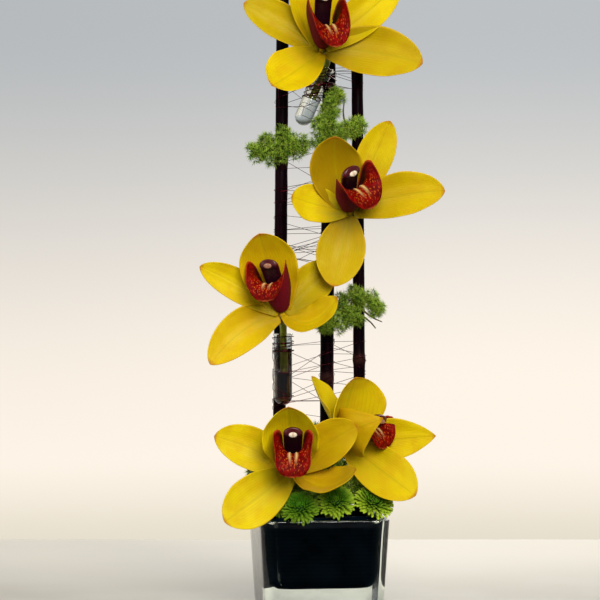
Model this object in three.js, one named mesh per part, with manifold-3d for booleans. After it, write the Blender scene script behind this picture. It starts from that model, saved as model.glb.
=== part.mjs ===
// Yellow cymbidium orchids in a low square glass vase, as a tall upright arrangement.
// Three dark canes stand in floral foam inside a leaf-lined glass vase. Two blooms sit at the rim
// and three more are tied to the canes, each in its own water tube. Needle fern, green button
// chrysanthemums and a wound wire fill and bind it. Millimetres, +Z up, origin at the middle of
// the vase's underside, front of the arrangement towards -Y.
import * as THREE from "three";
import { mergeVertices } from "three/addons/utils/BufferGeometryUtils.js";
import Module from "manifold-3d";

const wasm = await Module();
wasm.setup();
const { Manifold, Mesh: SolidMesh } = wasm;

// Vase: a tapered square tumbler with a thick base.
const vase = {
  height: 75,
  halfTop: 50,
  halfFoot: 45.5,
  cornerTop: 12,
  cornerFoot: 11,
  wall: 6.5,
  floor: 22,
  floorRound: 9,
  turnDegrees: 7,
};
const restGap = 0.35; // clearance left between touching pieces
const fernGap = 0.8; // and round a fern tuft
const liner = { thickness: 1.1, above: 1, wave: 1.4 };
const foam = { top: 68, wallGap: 0.4 };

// Canes: centre line at the foot and at the head, radius, and the heights of their knots.
const canes = {
  left: { foot: [-31, 1, 30], head: [-27, 1, 530], radius: 5.1, knots: [118, 246, 352, 468] },
  middle: { foot: [6.2, 10, 30], head: [9.8, 10, 545], radius: 5.4, knots: [92, 182, 330, 500] },
  right: { foot: [33.6, 2, 30], head: [30.4, 2, 518], radius: 4.7, knots: [104, 197, 340, 446] },
};
const caneSides = 8;
const caneStep = 60; // spacing of the cane's rings
const knotSwell = 0.55;
const knotReach = 5;

// Water tubes: glass vials with a round bottom, each tied in front of a cane.
const vial = { radius: 7, lip: 0.8, wall: 1, sides: 10, waterDepth: 0.78 };
const vials = {
  top: { bottom: [-13.7, -4.4, 380], top: [6, -3.6, 425] },
  upper: { bottom: [14.3, -4.6, 259], top: [20.4, -4.2, 304] },
  lower: { bottom: [-27, -12.2, 161], top: [-27.1, -12.3, 217] },
};

// Blooms. heart is where the tepals meet. turn and tilt (degrees) say how far the lip's mouth
// looks right and up, and roll how far the bloom leans left. lift and sway carry the mouth up and
// to the right by a share of its distance from the heart. Each tepal: tip measured from the heart,
// width, arch (how far the middle bows back), cup (how far the edges come forward), face (where
// its inner side looks) and, on some, how far along it is broadest and where its middle is drawn to.
const front = [0, -1, 0];
const blooms = {
  top: {
    heart: [3, -34, 435.5],
    turn: 22,
    tilt: 14,
    roll: 14,
    lift: 0.38,
    sway: 0.04,
    tepals: {
      dorsal: { tip: [-8, -24, 62], width: 41, arch: 15, cup: 0.3, face: front, broadest: 0.66 },
      petalLeft: {
        tip: [-60, -4, 35], width: 29, arch: 7, cup: 0.2,
        face: [0.1, -1, 0.1], draw: [0, 0, 5],
      },
      petalRight: { tip: [60, -6, 50], width: 31, arch: 8, cup: 0.2, face: front },
      sepalLeft: {
        tip: [-38, -34, -31], width: 39, arch: 9, cup: 0.22,
        face: [0.1, -1, 0.5], broadest: 0.64,
      },
      sepalRight: {
        tip: [76.5, -12, -12], width: 40, arch: 11, cup: 0.2,
        face: [0, -1, 0.12], draw: [0, 0, 9],
      },
    },
    stalk: [[3.6, -26, 434], [6.3, -15.6, 433], [6.7, -6, 427], [-4.7, -4.4, 400]],
  },
  upper: {
    heart: [24.6, -34, 310.5],
    turn: 24,
    tilt: 14,
    roll: 22,
    lift: 0.36,
    sway: 0.17,
    tepals: {
      dorsal: {
        tip: [-12, -27, 56], width: 42, arch: 18, cup: 0.34,
        face: [0.05, -1, 0], broadest: 0.64, draw: [-7, 0, 0],
      },
      petalLeft: { tip: [-45, -18, 11], width: 29, arch: 6, cup: 0.22, face: [0, -1, 0.2], broadest: 0.66 },
      petalRight: { tip: [30.5, -6, 69.5], width: 29, arch: 10, cup: 0.14, face: front, broadest: 0.6 },
      sepalLeft: { tip: [-13.5, -14, -57], width: 38, arch: 9, cup: 0.16, face: [0, -1, 0.1] },
      sepalRight: {
        tip: [72, -12, 15.5], width: 35, arch: 9, cup: 0.2,
        face: [0, -1, 0.15], draw: [0, 0, 10],
      },
    },
    stalk: [[23.2, -25, 309], [21.6, -14, 309], [20.2, -5, 303], [17.6, -4.4, 281]],
  },
  lower: {
    heart: [-30.2, -35, 233],
    turn: -20,
    tilt: 16,
    roll: 5,
    lift: 0.46,
    sway: -0.06,
    tepals: {
      dorsal: { tip: [-14.5, -28, 60], width: 45, arch: 16, cup: 0.36, face: front, broadest: 0.66 },
      petalLeft: {
        tip: [-60, -13, 35.5], width: 25, arch: 7, cup: 0.2,
        face: [0.1, -1, -0.1], draw: [0, 0, 5],
      },
      petalRight: { tip: [42, 4, 39], width: 31, arch: 3, cup: 0.2, face: [-0.1, -1, 0] },
      sepalLeft: {
        tip: [-52, -15, -39], width: 33, arch: 8, cup: 0.2,
        face: [0.1, -1, 0.2], draw: [0, 0, 18],
      },
      sepalRight: {
        tip: [44.5, -27, 12], width: 29, arch: 7, cup: 0.2,
        face: [-0.2, -0.85, 0.75], broadest: 0.62, draw: [0, 0, -20],
      },
    },
    stalk: [[-28.4, -26, 228], [-27, -17.5, 224], [-26.8, -12.7, 214], [-26.4, -12.7, 187]],
  },
  rimLeft: {
    heart: [-19.2, -38, 111.5],
    turn: 0,
    tilt: 14,
    roll: 0,
    lift: 0.2,
    sway: 0,
    tepals: {
      dorsal: { tip: [-3.5, -34, 51], width: 45, arch: 19, cup: 0.34, face: front, broadest: 0.68 },
      petalLeft: {
        tip: [-60, -9, 27.5], width: 33, arch: 7, cup: 0.18,
        face: [0.1, -1, 0.1], draw: [0, 0, 7],
      },
      petalRight: {
        tip: [49, -25, 36], width: 33, arch: 6, cup: 0.18,
        face: [-0.1, -1, 0.1], draw: [0, 0, 7],
      },
      sepalLeft: {
        tip: [-51.5, -27, -36], width: 39, arch: 3, cup: 0.14,
        face: [0.05, -1, 0.1], broadest: 0.6,
      },
      sepalRight: {
        tip: [47.5, -34, 4], width: 32, arch: 10, cup: 0.2,
        face: [-0.1, -0.6, 0.85], broadest: 0.62, draw: [0, 0, -16],
      },
    },
    stalk: [[-18, -28, 107], [-15.7, -17, 99], [-13.7, -10.5, 82], [-13.7, -10, 42]],
  },
  rimRight: {
    heart: [20.8, -20, 132.5],
    turn: 46,
    tilt: 14,
    roll: 0,
    lift: 0.12,
    sway: 0.24,
    tepals: {
      dorsal: { tip: [9, -17, 50], width: 50, arch: 14, cup: 0.26, face: [0.35, -1, -0.1], broadest: 0.62 },
      petalLeft: { tip: [-25.5, -5, 51.5], width: 27, arch: 2, cup: 0.25, face: [0.9, -0.42, 0.35] },
      petalRight: { tip: [69.5, -24, 6], width: 32, arch: 9, cup: 0.18, face: [0.1, -1, 0.12] },
      sepalLeft: { tip: [29, -40, 18.5], width: 42, arch: 26, cup: 0.14, face: [0.8, 0.5, 0.25] },
      sepalRight: {
        tip: [56.5, -34, -38.5], width: 42, arch: 5, cup: 0.14,
        face: [0.1, -1, 0.1], broadest: 0.6,
      },
    },
    stalk: [[16, -13.6, 127], [11, -12, 119], [8.3, -10.5, 96], [8.8, -9.5, 42]],
  },
};
const tepalThickness = 1;
const tepalCells = [4, 5]; // across, along
const heartRadius = 4.6;

// Lip, drawn for every bloom in its own frame: the floor's middle line as forward and up, then
// half width, height of the sides, and how far forward the sides lean, from claw to apron.
const lipThickness = 1;
const lipCells = [6, 8];
const lip = {
  forward: [4, 12, 19, 24.5, 30, 33.6, 33],
  up: [-1.5, -2.5, 0.5, 4, -2, -10, -17.5],
  halfWidth: [4.8, 8.6, 10.5, 13, 13.2, 12, 4],
  rise: [4.5, 10, 13, 15.5, 7, 4, 0.8],
  lean: [0, 1, 4, 8, 4, 2.5, 0],
};

// Column: an arched club over the lip that ends in the anther cap.
const column = {
  forward: [5.4, 15, 26, 34, 37.6],
  up: [3, 9.5, 14.5, 16.5, 15],
  halfWidth: 5.2,
  halfDepth: 3.6,
};
const anther = { radius: 3.5, length: 2.8 };
const stalkRadius = 2.7;

// Green button chrysanthemums round the rim: head centre, way it faces, and head radius.
const buttons = [
  { at: [-34, -33, 86], faces: [-0.3, -0.6, 0.74], radius: 12 },
  { at: [-14, -44.6, 85.6], faces: [-0.05, -0.74, 0.67], radius: 14 },
  { at: [13.6, -42, 90], faces: [0.05, -0.76, 0.65], radius: 14 },
  { at: [43, -37, 89], faces: [0.25, -0.62, 0.75], radius: 14.6 },
  { at: [46, -9.4, 88.6], faces: [0.5, -0.1, 0.86], radius: 11.4 },
  { at: [41, 21, 88], faces: [0.5, 0.4, 0.78], radius: 13 },
  { at: [15, 42, 87.5], faces: [0.05, 0.62, 0.78], radius: 13.6 },
  { at: [-14, 41, 87], faces: [-0.1, 0.6, 0.8], radius: 13.2 },
  { at: [-42, 21, 88], faces: [-0.5, 0.3, 0.82], radius: 13 },
  { at: [-43, -8, 88], faces: [-0.5, -0.1, 0.86], radius: 12.6 },
];
const buttonPetals = 9;
const buttonRows = [
  { reach: 1, notch: 0.82, height: -0.04 },
  { reach: 0.58, notch: 0.58, height: 0.14 },
  { reach: 0.78, notch: 0.5, height: 0.3 },
  { reach: 0.36, notch: 0.36, height: 0.4 },
];
const buttonStem = 1.5;

// Needle fern: each tuft is several burrs, given as centre and reach, with a few bare twigs.
const ferns = {
  left: {
    burrs: [
      [-42, -8, 362, 13.5], [-47, -6, 356, 9.5], [-33, -11, 359, 12],
      [-21, -8, 365, 12], [-15, -7, 361, 8],
    ],
    twigs: [],
    seed: 11,
  },
  middle: {
    burrs: [
      [14, -7, 402, 8.5], [10, -7, 391, 10.5], [5, -9, 380, 12], [2, -8, 367, 11],
      [15, -8, 371, 11], [23, -9, 377, 10], [31, -7, 379, 9],
    ],
    twigs: [[[22, -9, 380], [20.5, -12, 397]]],
    seed: 23,
  },
  right: {
    burrs: [
      [5, -9, 224, 9], [14, -10, 226, 12], [17, -9, 238, 12], [27, -10, 244, 12.5],
      [27, -10, 229, 11], [37, -8, 244, 11], [45, -8, 237, 8],
    ],
    twigs: [[[34, -9, 236], [50, -10, 226]], [[32, -9, 232], [45, -11, 221]]],
    seed: 37,
  },
  footLeft: {
    burrs: [
      [-46, 0, 108, 11], [-38, -4, 108, 12], [-32, 10, 106, 12],
      [-18, 12, 106, 13], [-22, 0, 112, 10],
    ],
    twigs: [],
    seed: 51,
  },
  footRight: {
    burrs: [
      [2, -2, 124, 11], [0, -2, 140, 10], [14, 10, 110, 13],
      [29, 10, 106, 13], [42, 4, 114, 12], [52, 1, 130, 12],
    ],
    twigs: [],
    seed: 67,
  },
};

// Two lengths of wire wound round the canes and tubes in bands (low, high, turns) that leave room
// for the fern, with a straight climb up the back between them. rise is the share of each turn's
// climb that happens across the front, which sets how steeply the strands slope there.
const wire = { radius: 0.45, gap: 0.95, samples: 11, sides: 3 };
const windings = [
  {
    bands: [[140, 210, 3], [266, 300, 2], [317, 343, 1], [411, 424, 1]],
    rise: 0.9,
    wander: 2.5,
    startDegrees: 80,
  },
  {
    bands: [[150, 206, 2], [272, 298, 1], [322, 344, 1], [410, 422, 1]],
    rise: 0.15,
    wander: 3,
    startDegrees: 100,
  },
];

const colours = {
  glass: 0xd9e3dc,
  leaf: 0x0c1614,
  foam: 0x2f5a2c,
  cane: 0x2b0e12,
  tepal: 0xe6c61a,
  lip: 0xb0220c,
  column: 0x4a0a18,
  anther: 0xf3e3cf,
  stalk: 0x7f9a2c,
  button: 0x86b51f,
  fern: 0x6fa52c,
  wire: 0x6b1f2a,
  water: 0xe4efee,
};

const vec = (p) => new THREE.Vector3(...p);

// A manifold solid from points and triangles, turned outwards if it came out inside out.
function solidFrom(points, triangles) {
  const vertProperties = new Float32Array(points.flatMap((p) => [p.x, p.y, p.z]));
  const fill = (triVerts) => new Manifold(new SolidMesh({ numProp: 3, vertProperties, triVerts }));
  const made = fill(new Uint32Array(triangles));
  if (made.volume() > 0) return made;
  const turned = new Uint32Array(triangles);
  for (let i = 1; i < turned.length; i += 3) [turned[i], turned[i + 1]] = [turned[i + 1], turned[i]];
  return fill(turned);
}

// A three.js geometry as a solid: only positions are kept, and shared corners are merged.
function solidOf(geometry) {
  geometry.deleteAttribute("normal");
  geometry.deleteAttribute("uv");
  const merged = mergeVertices(geometry, 1e-4);
  const position = merged.attributes.position;
  const cornerAt = (_, i) => new THREE.Vector3().fromBufferAttribute(position, i);
  const points = Array.from({ length: position.count }, cornerAt);
  return solidFrom(points, Array.from(merged.index.array));
}

const joined = (solids) => Manifold.union(solids);

// The largest body of a solid, so that scraps left by a cut are dropped, with slivers smoothed out.
function largest(solid, slivers = 0.15) {
  return solid.decompose().sort((a, b) => b.volume() - a.volume())[0].simplify(slivers);
}

// A closed solid through rings of equal count. Each end is closed flat, or to a pole if one is given.
function loft(rings, poles) {
  const points = rings.flat();
  const count = rings[0].length;
  const triangles = [];
  for (let r = 0; r + 1 < rings.length; r++)
    for (let k = 0; k < count; k++) {
      const a = r * count + k;
      const b = r * count + ((k + 1) % count);
      triangles.push(a, b, b + count, a, b + count, a + count);
    }
  const last = (rings.length - 1) * count;
  if (poles) {
    const pole = points.length;
    for (let k = 0; k < count; k++) {
      triangles.push(pole, (k + 1) % count, k);
      triangles.push(pole + 1, last + k, last + ((k + 1) % count));
    }
    return solidFrom([...points, ...poles], triangles);
  }
  for (let k = 1; k + 1 < count; k++) {
    triangles.push(0, k + 1, k);
    triangles.push(last, last + k, last + k + 1);
  }
  return solidFrom(points, triangles);
}

// Two unit vectors across a direction, turned as little as possible from the sideways hint.
function across(direction, hint = new THREE.Vector3(1, 0, 0)) {
  const side = hint.clone().addScaledVector(direction, -hint.dot(direction)).normalize();
  return [side, new THREE.Vector3().crossVectors(direction, side)];
}

function ringAt(centre, side, up, radius, sides) {
  return Array.from({ length: sides }, (_, k) => {
    const angle = (2 * Math.PI * k) / sides;
    const point = centre.clone().addScaledVector(side, radius * Math.cos(angle));
    return point.addScaledVector(up, radius * Math.sin(angle));
  });
}

// A round rod along a curve, with its radius given at each share of the way.
function rod(curve, steps, radiusAt, sides) {
  const rings = [];
  for (let i = 0; i <= steps; i++) {
    const t = i / steps;
    const [side, up] = across(curve.getTangent(t));
    rings.push(ringAt(curve.getPoint(t), side, up, radiusAt(t), sides));
  }
  return loft(rings);
}

// A thin closed blade: pointAt(u, v) with u from -1 to 1 across and v from 0 to 1 along.
function blade(pointAt, [cellsAcross, cellsAlong], thickness) {
  const grid = [];
  for (let i = 0; i <= cellsAlong; i++) {
    const rowPoint = (_, j) => pointAt((2 * j) / cellsAcross - 1, i / cellsAlong);
    grid.push(Array.from({ length: cellsAcross + 1 }, rowPoint));
  }
  const at = (i, j) => grid[Math.min(Math.max(i, 0), cellsAlong)][Math.min(Math.max(j, 0), cellsAcross)];
  const upper = [];
  const lower = [];
  for (let i = 0; i <= cellsAlong; i++)
    for (let j = 0; j <= cellsAcross; j++) {
      const along = at(i + 1, j).clone().sub(at(i - 1, j));
      const side = at(i, j + 1).clone().sub(at(i, j - 1));
      const normal = side.cross(along).normalize().multiplyScalar(thickness / 2);
      upper.push(grid[i][j].clone().add(normal));
      lower.push(grid[i][j].clone().sub(normal));
    }
  const row = cellsAcross + 1;
  const under = upper.length;
  const triangles = [];
  for (let i = 0; i < cellsAlong; i++)
    for (let j = 0; j < cellsAcross; j++) {
      const a = i * row + j;
      triangles.push(a, a + 1, a + row + 1, a, a + row + 1, a + row);
      const b = under + a;
      triangles.push(b, b + row + 1, b + 1, b, b + row, b + row + 1);
    }
  const rim = [];
  for (let j = 0; j < cellsAcross; j++) rim.push(j);
  for (let i = 0; i < cellsAlong; i++) rim.push(i * row + cellsAcross);
  for (let j = cellsAcross; j > 0; j--) rim.push(cellsAlong * row + j);
  for (let i = cellsAlong; i > 0; i--) rim.push(i * row);
  rim.forEach((a, k) => {
    const b = rim[(k + 1) % rim.length];
    triangles.push(b, a, under + a, b, under + a, under + b);
  });
  return solidFrom([...upper, ...lower], triangles);
}

// Repeatable random numbers from 0 to 1.
function randomFrom(seed) {
  let state = seed;
  return () => {
    state = (state * 16807) % 2147483647;
    return state / 2147483647;
  };
}

// Vase, liner and foam.

const cornerSteps = 3;

function squareRing(half, corner, z, grow = 0) {
  const turn = THREE.MathUtils.degToRad(vase.turnDegrees);
  const inset = half - corner;
  const ring = [];
  for (let quarter = 0; quarter < 4; quarter++)
    for (let k = 0; k <= cornerSteps; k++) {
      const angle = (Math.PI / 2) * (quarter + k / cornerSteps);
      const sx = quarter === 0 || quarter === 3 ? 1 : -1;
      const sy = quarter < 2 ? 1 : -1;
      const x = sx * inset + (corner + grow) * Math.cos(angle);
      const y = sy * inset + (corner + grow) * Math.sin(angle);
      ring.push(new THREE.Vector3(x, y, z).applyAxisAngle(new THREE.Vector3(0, 0, 1), turn));
    }
  return ring;
}

// Half width and corner radius of the vase's outside at a height.
function outsideAt(z) {
  const share = z / vase.height;
  return [
    THREE.MathUtils.lerp(vase.halfFoot, vase.halfTop, share),
    THREE.MathUtils.lerp(vase.cornerFoot, vase.cornerTop, share),
  ];
}

// The cavity's ring at a height, drawn in near the floor by its rounding, and inset by a gap.
function cavityRing(z, gap, rise = 0) {
  const [half, corner] = outsideAt(z);
  const above = Math.min(1, (z - vase.floor) / vase.floorRound);
  const drawIn = vase.floorRound * (1 - Math.sqrt(Math.max(0, 1 - (1 - above) ** 2)));
  return squareRing(half - vase.wall - drawIn * 0.8 - gap, corner - 3.5, z + rise);
}

const floorHeights = [0, 0.25, 1].map((share) => vase.floor + vase.floorRound * share);

function vaseSolid() {
  const foot = outsideAt(0);
  const rings = [
    squareRing(foot[0] - 2, foot[1] - 1.5, 0),
    squareRing(...outsideAt(2), 2),
    squareRing(...outsideAt(vase.height - 1), vase.height - 1),
    squareRing(vase.halfTop - 1.4, vase.cornerTop - 1, vase.height),
    squareRing(vase.halfTop - vase.wall + 1.4, vase.cornerTop - 2.6, vase.height),
    cavityRing(vase.height - 1, 0),
    ...floorHeights.slice().reverse().map((z) => cavityRing(z, 0)),
  ];
  return loft(rings);
}

function linerSolid() {
  const waved = (p, k) => p.clone().setZ(vase.height + liner.above + liner.wave * Math.sin(k * 1.9));
  const edge = (gap) => cavityRing(vase.height - 1, gap).map(waved);
  const inner = restGap + liner.thickness;
  const outside = floorHeights.map((z) => cavityRing(z, restGap, restGap));
  const inside = floorHeights.map((z) => cavityRing(z, inner, inner)).reverse();
  return loft([...outside, edge(restGap), edge(inner), ...inside]);
}

function foamSolid(holes) {
  const gap = restGap + liner.thickness + foam.wallGap;
  const rings = floorHeights.map((z) => cavityRing(z, gap, gap));
  rings.push(cavityRing(foam.top, gap));
  return holes.reduce((block, hole) => block.subtract(hole), loft(rings));
}

// Canes: straight rods that swell a little at each knot.

function caneCentre(cane, z) {
  const t = (z - cane.foot[2]) / (cane.head[2] - cane.foot[2]);
  return vec(cane.foot).lerp(vec(cane.head), t);
}

function caneSolid(cane, grow = 0) {
  const heights = new Set([cane.foot[2], cane.head[2]]);
  for (let z = cane.foot[2] + caneStep; z < cane.head[2] - 10; z += caneStep)
    if (cane.knots.every((k) => Math.abs(z - k) > 14)) heights.add(z);
  for (const knot of cane.knots) [-knotReach, 0, knotReach].forEach((dz) => heights.add(knot + dz));
  const sorted = [...heights].sort((a, b) => a - b);
  const rings = sorted.map((z, i) => {
    const radius = cane.radius + (cane.knots.includes(z) ? knotSwell : 0) - 0.12 * ((i * 7) % 3) + grow;
    const [side, up] = across(new THREE.Vector3(0, 0, 1));
    return ringAt(caneCentre(cane, z), side, up, radius, caneSides);
  });
  return loft(rings);
}

// Water tubes and the water in them.

function placeOnAxis(solid, bottom, top) {
  const up = new THREE.Vector3(0, 0, 1);
  const axis = vec(top).sub(vec(bottom)).normalize();
  const lean = new THREE.Quaternion().setFromUnitVectors(up, axis);
  const turn = new THREE.Matrix4().makeRotationFromQuaternion(lean);
  turn.setPosition(vec(bottom));
  return solid.transform(turn.elements);
}

function latheSolid(profile, sides) {
  const geometry = new THREE.LatheGeometry(profile.map(([x, y]) => new THREE.Vector2(x, y)), sides);
  return solidOf(geometry.rotateX(Math.PI / 2));
}

const vialLength = (v) => vec(v.top).distanceTo(vec(v.bottom));

function vialSolid(v) {
  const { radius: r, wall, sides } = vial;
  const length = vialLength(v);
  const bulb = (radius, lift) => [[0, lift], [radius * 0.7, lift + radius * 0.3], [radius, lift + radius]];
  const outer = [...bulb(r, 0), [r, length - 2], [r + vial.lip, length - 1.2], [r + vial.lip, length]];
  const inner = bulb(r - wall, wall).reverse();
  return placeOnAxis(latheSolid([...outer, [r - wall, length], ...inner], sides), v.bottom, v.top);
}

function waterSolid(v, hole) {
  const r = vial.radius - vial.wall - restGap;
  const low = vial.wall + restGap;
  const surface = vialLength(v) * vial.waterDepth;
  const profile = [[0, low], [r * 0.7, low + r * 0.3], [r, low + r], [r, surface], [0, surface]];
  return placeOnAxis(latheSolid(profile, vial.sides), v.bottom, v.top).subtract(hole);
}

// Blooms.

function lookingWay(bloom) {
  const turn = THREE.MathUtils.degToRad(bloom.turn);
  const tilt = THREE.MathUtils.degToRad(bloom.tilt);
  const level = Math.cos(tilt);
  return new THREE.Vector3(Math.sin(turn) * level, -Math.cos(turn) * level, Math.sin(tilt));
}

// A tepal's half width at each share of its length: narrow claw, broad middle, short point.
function tepalShape(v, broadest = 0.52) {
  if (v < broadest) return 1 - 0.68 * (1 - v / broadest) ** 2;
  return Math.max(0.2, (1 - ((v - broadest) / (1 - broadest)) ** 2.4) ** 0.56);
}

function tepalSolid(bloom, tepal, whorl, grow) {
  const face = vec(tepal.face).normalize();
  const tip = vec(tepal.tip);
  const axis = lookingWay(bloom);
  const base = tip.clone().normalize().multiplyScalar(2.2).addScaledVector(axis, whorl);
  const bend = tip.clone().multiplyScalar(0.52).addScaledVector(face, -tepal.arch);
  bend.add(vec(tepal.draw ?? [0, 0, 0]));
  const spine = new THREE.QuadraticBezierCurve3(base, bend, tip);
  const half = tepal.width / 2;
  const pointAt = (u, v) => {
    const tangent = spine.getTangent(v);
    const normal = face.clone().addScaledVector(tangent, -face.dot(tangent)).normalize();
    const side = new THREE.Vector3().crossVectors(tangent, normal);
    const reach = half * tepalShape(v, tepal.broadest) + grow;
    return spine
      .getPoint(v)
      .addScaledVector(side, reach * u * (1 - 0.12 * Math.abs(u) * Math.abs(tepal.cup)))
      .addScaledVector(normal, tepal.cup * 2 * reach * u * u * Math.sin(Math.PI * (0.15 + 0.75 * v)));
  };
  return blade(pointAt, tepalCells, tepalThickness + 2 * grow);
}

function tepalsSolid(bloom, grow = 0) {
  const parts = Object.entries(bloom.tepals).map(([name, tepal]) =>
    tepalSolid(bloom, tepal, name.startsWith("petal") ? 0.7 : -0.9, grow),
  );
  const heart = solidOf(new THREE.SphereGeometry(heartRadius + grow, 8, 6));
  return largest(joined([...parts, heart]), 0.2).translate(bloom.heart);
}

// The bloom's own frame: sideways, up to the dorsal sepal, and forward along the throat.
function bloomFrame(bloom) {
  const forward = lookingWay(bloom);
  const roll = THREE.MathUtils.degToRad(bloom.roll);
  const up = new THREE.Vector3(-Math.sin(roll), 0, Math.cos(roll));
  up.addScaledVector(forward, -up.dot(forward)).normalize();
  const side = new THREE.Vector3().crossVectors(up, forward);
  forward.addScaledVector(up, bloom.lift).addScaledVector(side, -bloom.sway);
  return new THREE.Matrix4().makeBasis(side, up, forward).setPosition(vec(bloom.heart));
}

// A smooth curve through values given at equal steps, read at a share of the way.
function along(values) {
  const curve = new THREE.SplineCurve(values.map((value) => new THREE.Vector2(value, 0)));
  return (t) => curve.getPoint(t).x;
}

const lipAt = Object.fromEntries(Object.entries(lip).map(([key, values]) => [key, along(values)]));

// The lip is a trough: the claw hugs the column, the side lobes stand up beside it, and the
// apron in front is round.
function lipPoint(u, v) {
  const angle = (Math.PI / 2) * u;
  const height = 1 - Math.cos(angle);
  return new THREE.Vector3(
    lipAt.halfWidth(v) * Math.sin(angle),
    lipAt.up(v) + lipAt.rise(v) * height,
    lipAt.forward(v) + lipAt.lean(v) * height,
  );
}

function lipSolid(bloom) {
  const rough = blade(lipPoint, lipCells, lipThickness).transform(bloomFrame(bloom).elements);
  return largest(rough.subtract(tepalsSolid(bloom, restGap)));
}

const columnLine = new THREE.CatmullRomCurve3(
  column.forward.map((forward, i) => new THREE.Vector3(0, column.up[i], forward)),
);

function columnSolid(bloom) {
  const rings = [0, 0.3, 0.6, 0.85, 1].map((t) => {
    const swell = 0.8 + 0.25 * Math.sin((Math.PI / 2) * Math.min(1, t / 0.8)) - (t === 1 ? 0.25 : 0);
    const tangent = columnLine.getTangent(t);
    const up = new THREE.Vector3(0, tangent.z, -tangent.y);
    const side = new THREE.Vector3(column.halfWidth * swell, 0, 0);
    return ringAt(columnLine.getPoint(t), side, up.multiplyScalar(column.halfDepth * swell), 1, 8);
  });
  const rough = loft(rings).transform(bloomFrame(bloom).elements);
  return largest(rough.subtract(tepalsSolid(bloom, restGap)));
}

function antherSolid(bloom) {
  const { radius: r, length } = anther;
  const outline = [[0, 0], [r * 0.9, 0], [r, length * 0.35], [r * 0.6, length * 0.85], [0, length]];
  const cap = latheSolid(outline, 8);
  const end = columnLine.getPoint(1);
  const tangent = columnLine.getTangent(1);
  const place = new THREE.Matrix4().makeRotationX(-Math.atan2(tangent.y, tangent.z));
  place.setPosition(end.addScaledVector(tangent, restGap));
  return cap.transform(bloomFrame(bloom).multiply(place).elements);
}

// The stalk runs from the heart, and is cut back to the tepals once it is added.
function stalkSolid(bloom, grow = 0) {
  const curve = new THREE.CatmullRomCurve3([bloom.heart, ...bloom.stalk].map(vec));
  return rod(curve, 10, (t) => stalkRadius * (1.2 - 0.35 * t) + grow, 6);
}

// Button chrysanthemums: stepped rows of blunt florets round a low dome, on a stem into the foam.

function buttonFrame(button) {
  const faces = vec(button.faces).normalize();
  const [side, up] = across(faces);
  return new THREE.Matrix4().makeBasis(side, up, faces).setPosition(vec(button.at));
}

function buttonHead(radius, turn) {
  const corners = buttonPetals * 2;
  const rings = buttonRows.map((row, r) =>
    Array.from({ length: corners }, (_, k) => {
      const angle = (2 * Math.PI * (k + turn + 0.5 * Math.floor(r / 2))) / corners;
      const reach = radius * (k % 2 ? row.notch : row.reach);
      return new THREE.Vector3(reach * Math.cos(angle), reach * Math.sin(angle), radius * row.height);
    }),
  );
  return loft(rings, [new THREE.Vector3(0, 0, -0.24 * radius), new THREE.Vector3(0, 0, 0.44 * radius)]);
}

function stemFoot(button) {
  const [x, y] = button.at;
  return new THREE.Vector3(x * 0.74, y * 0.74, 46);
}

function buttonStemSolid(button, grow = 0) {
  const frame = buttonFrame(button);
  const neck = new THREE.Vector3(0, 0, -2).applyMatrix4(frame);
  const middle = new THREE.Vector3(0, 0, -13).applyMatrix4(frame).lerp(stemFoot(button), 0.25);
  const curve = new THREE.QuadraticBezierCurve3(neck, middle, stemFoot(button));
  return rod(curve, 3, () => buttonStem + grow, 4);
}

function buttonSolid(button, index) {
  const head = buttonHead(button.radius, 0.3 * index).transform(buttonFrame(button).elements);
  return largest(head.add(buttonStemSolid(button)));
}

// Needle fern tufts.

// A burr: a ball whose corners are drawn out as needle tips or sunk between them.
function burrSolid([x, y, z, reach], random) {
  const ball = new THREE.IcosahedronGeometry(1, 1);
  ball.deleteAttribute("normal");
  ball.deleteAttribute("uv");
  const corners = mergeVertices(ball, 1e-4);
  const position = corners.attributes.position;
  const corner = new THREE.Vector3();
  for (let i = 0; i < position.count; i++) {
    const share = random() < 0.5 ? 0.9 + 0.25 * random() : 0.5 + 0.12 * random();
    corner.fromBufferAttribute(position, i).setLength(reach * share);
    position.setXYZ(i, corner.x, corner.y, corner.z);
  }
  return solidOf(corners).translate([x, y, z]);
}

function twigSolid([from, to]) {
  return rod(new THREE.LineCurve3(vec(from), vec(to)), 1, (t) => 0.9 - 0.35 * t, 5);
}

function fernSolid(fern, cutters) {
  const random = randomFrom(fern.seed);
  const tuft = joined([...fern.burrs.map((burr) => burrSolid(burr, random)), ...fern.twigs.map(twigSolid)]);
  return largest(cutters.reduce((rest, cutter) => rest.subtract(cutter), tuft), 0.7);
}

// Wire: it follows the tight outline of the canes and tubes at each height as it climbs.

function caneRadius(cane, z) {
  const swell = cane.knots.map((knot) => Math.max(0, 1 - Math.abs(z - knot) / (knotReach + 2)));
  return cane.radius + knotSwell * Math.max(...swell);
}

function boundItems(z) {
  const items = Object.values(canes).map((cane) => {
    const centre = caneCentre(cane, z);
    return [centre.x, centre.y, caneRadius(cane, z)];
  });
  for (const v of Object.values(vials)) {
    const share = (z - v.bottom[2]) / (v.top[2] - v.bottom[2]);
    if (share < -0.2 || share > 1.12) continue;
    const centre = vec(v.bottom).lerp(vec(v.top), THREE.MathUtils.clamp(share, 0, 1));
    items.push([centre.x, centre.y, vial.radius + vial.lip]);
  }
  return items;
}

// Where the wire lies at a height, looking out from the middle at an angle.
function wirePoint(angle, z) {
  const way = [Math.cos(angle), Math.sin(angle)];
  const reachOf = ([x, y, r]) => x * way[0] + y * way[1] + r;
  const item = boundItems(z).sort((a, b) => reachOf(b) - reachOf(a))[0];
  const radius = item[2] + wire.gap;
  return new THREE.Vector3(item[0] + radius * way[0], item[1] + radius * way[1], z);
}

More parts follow.
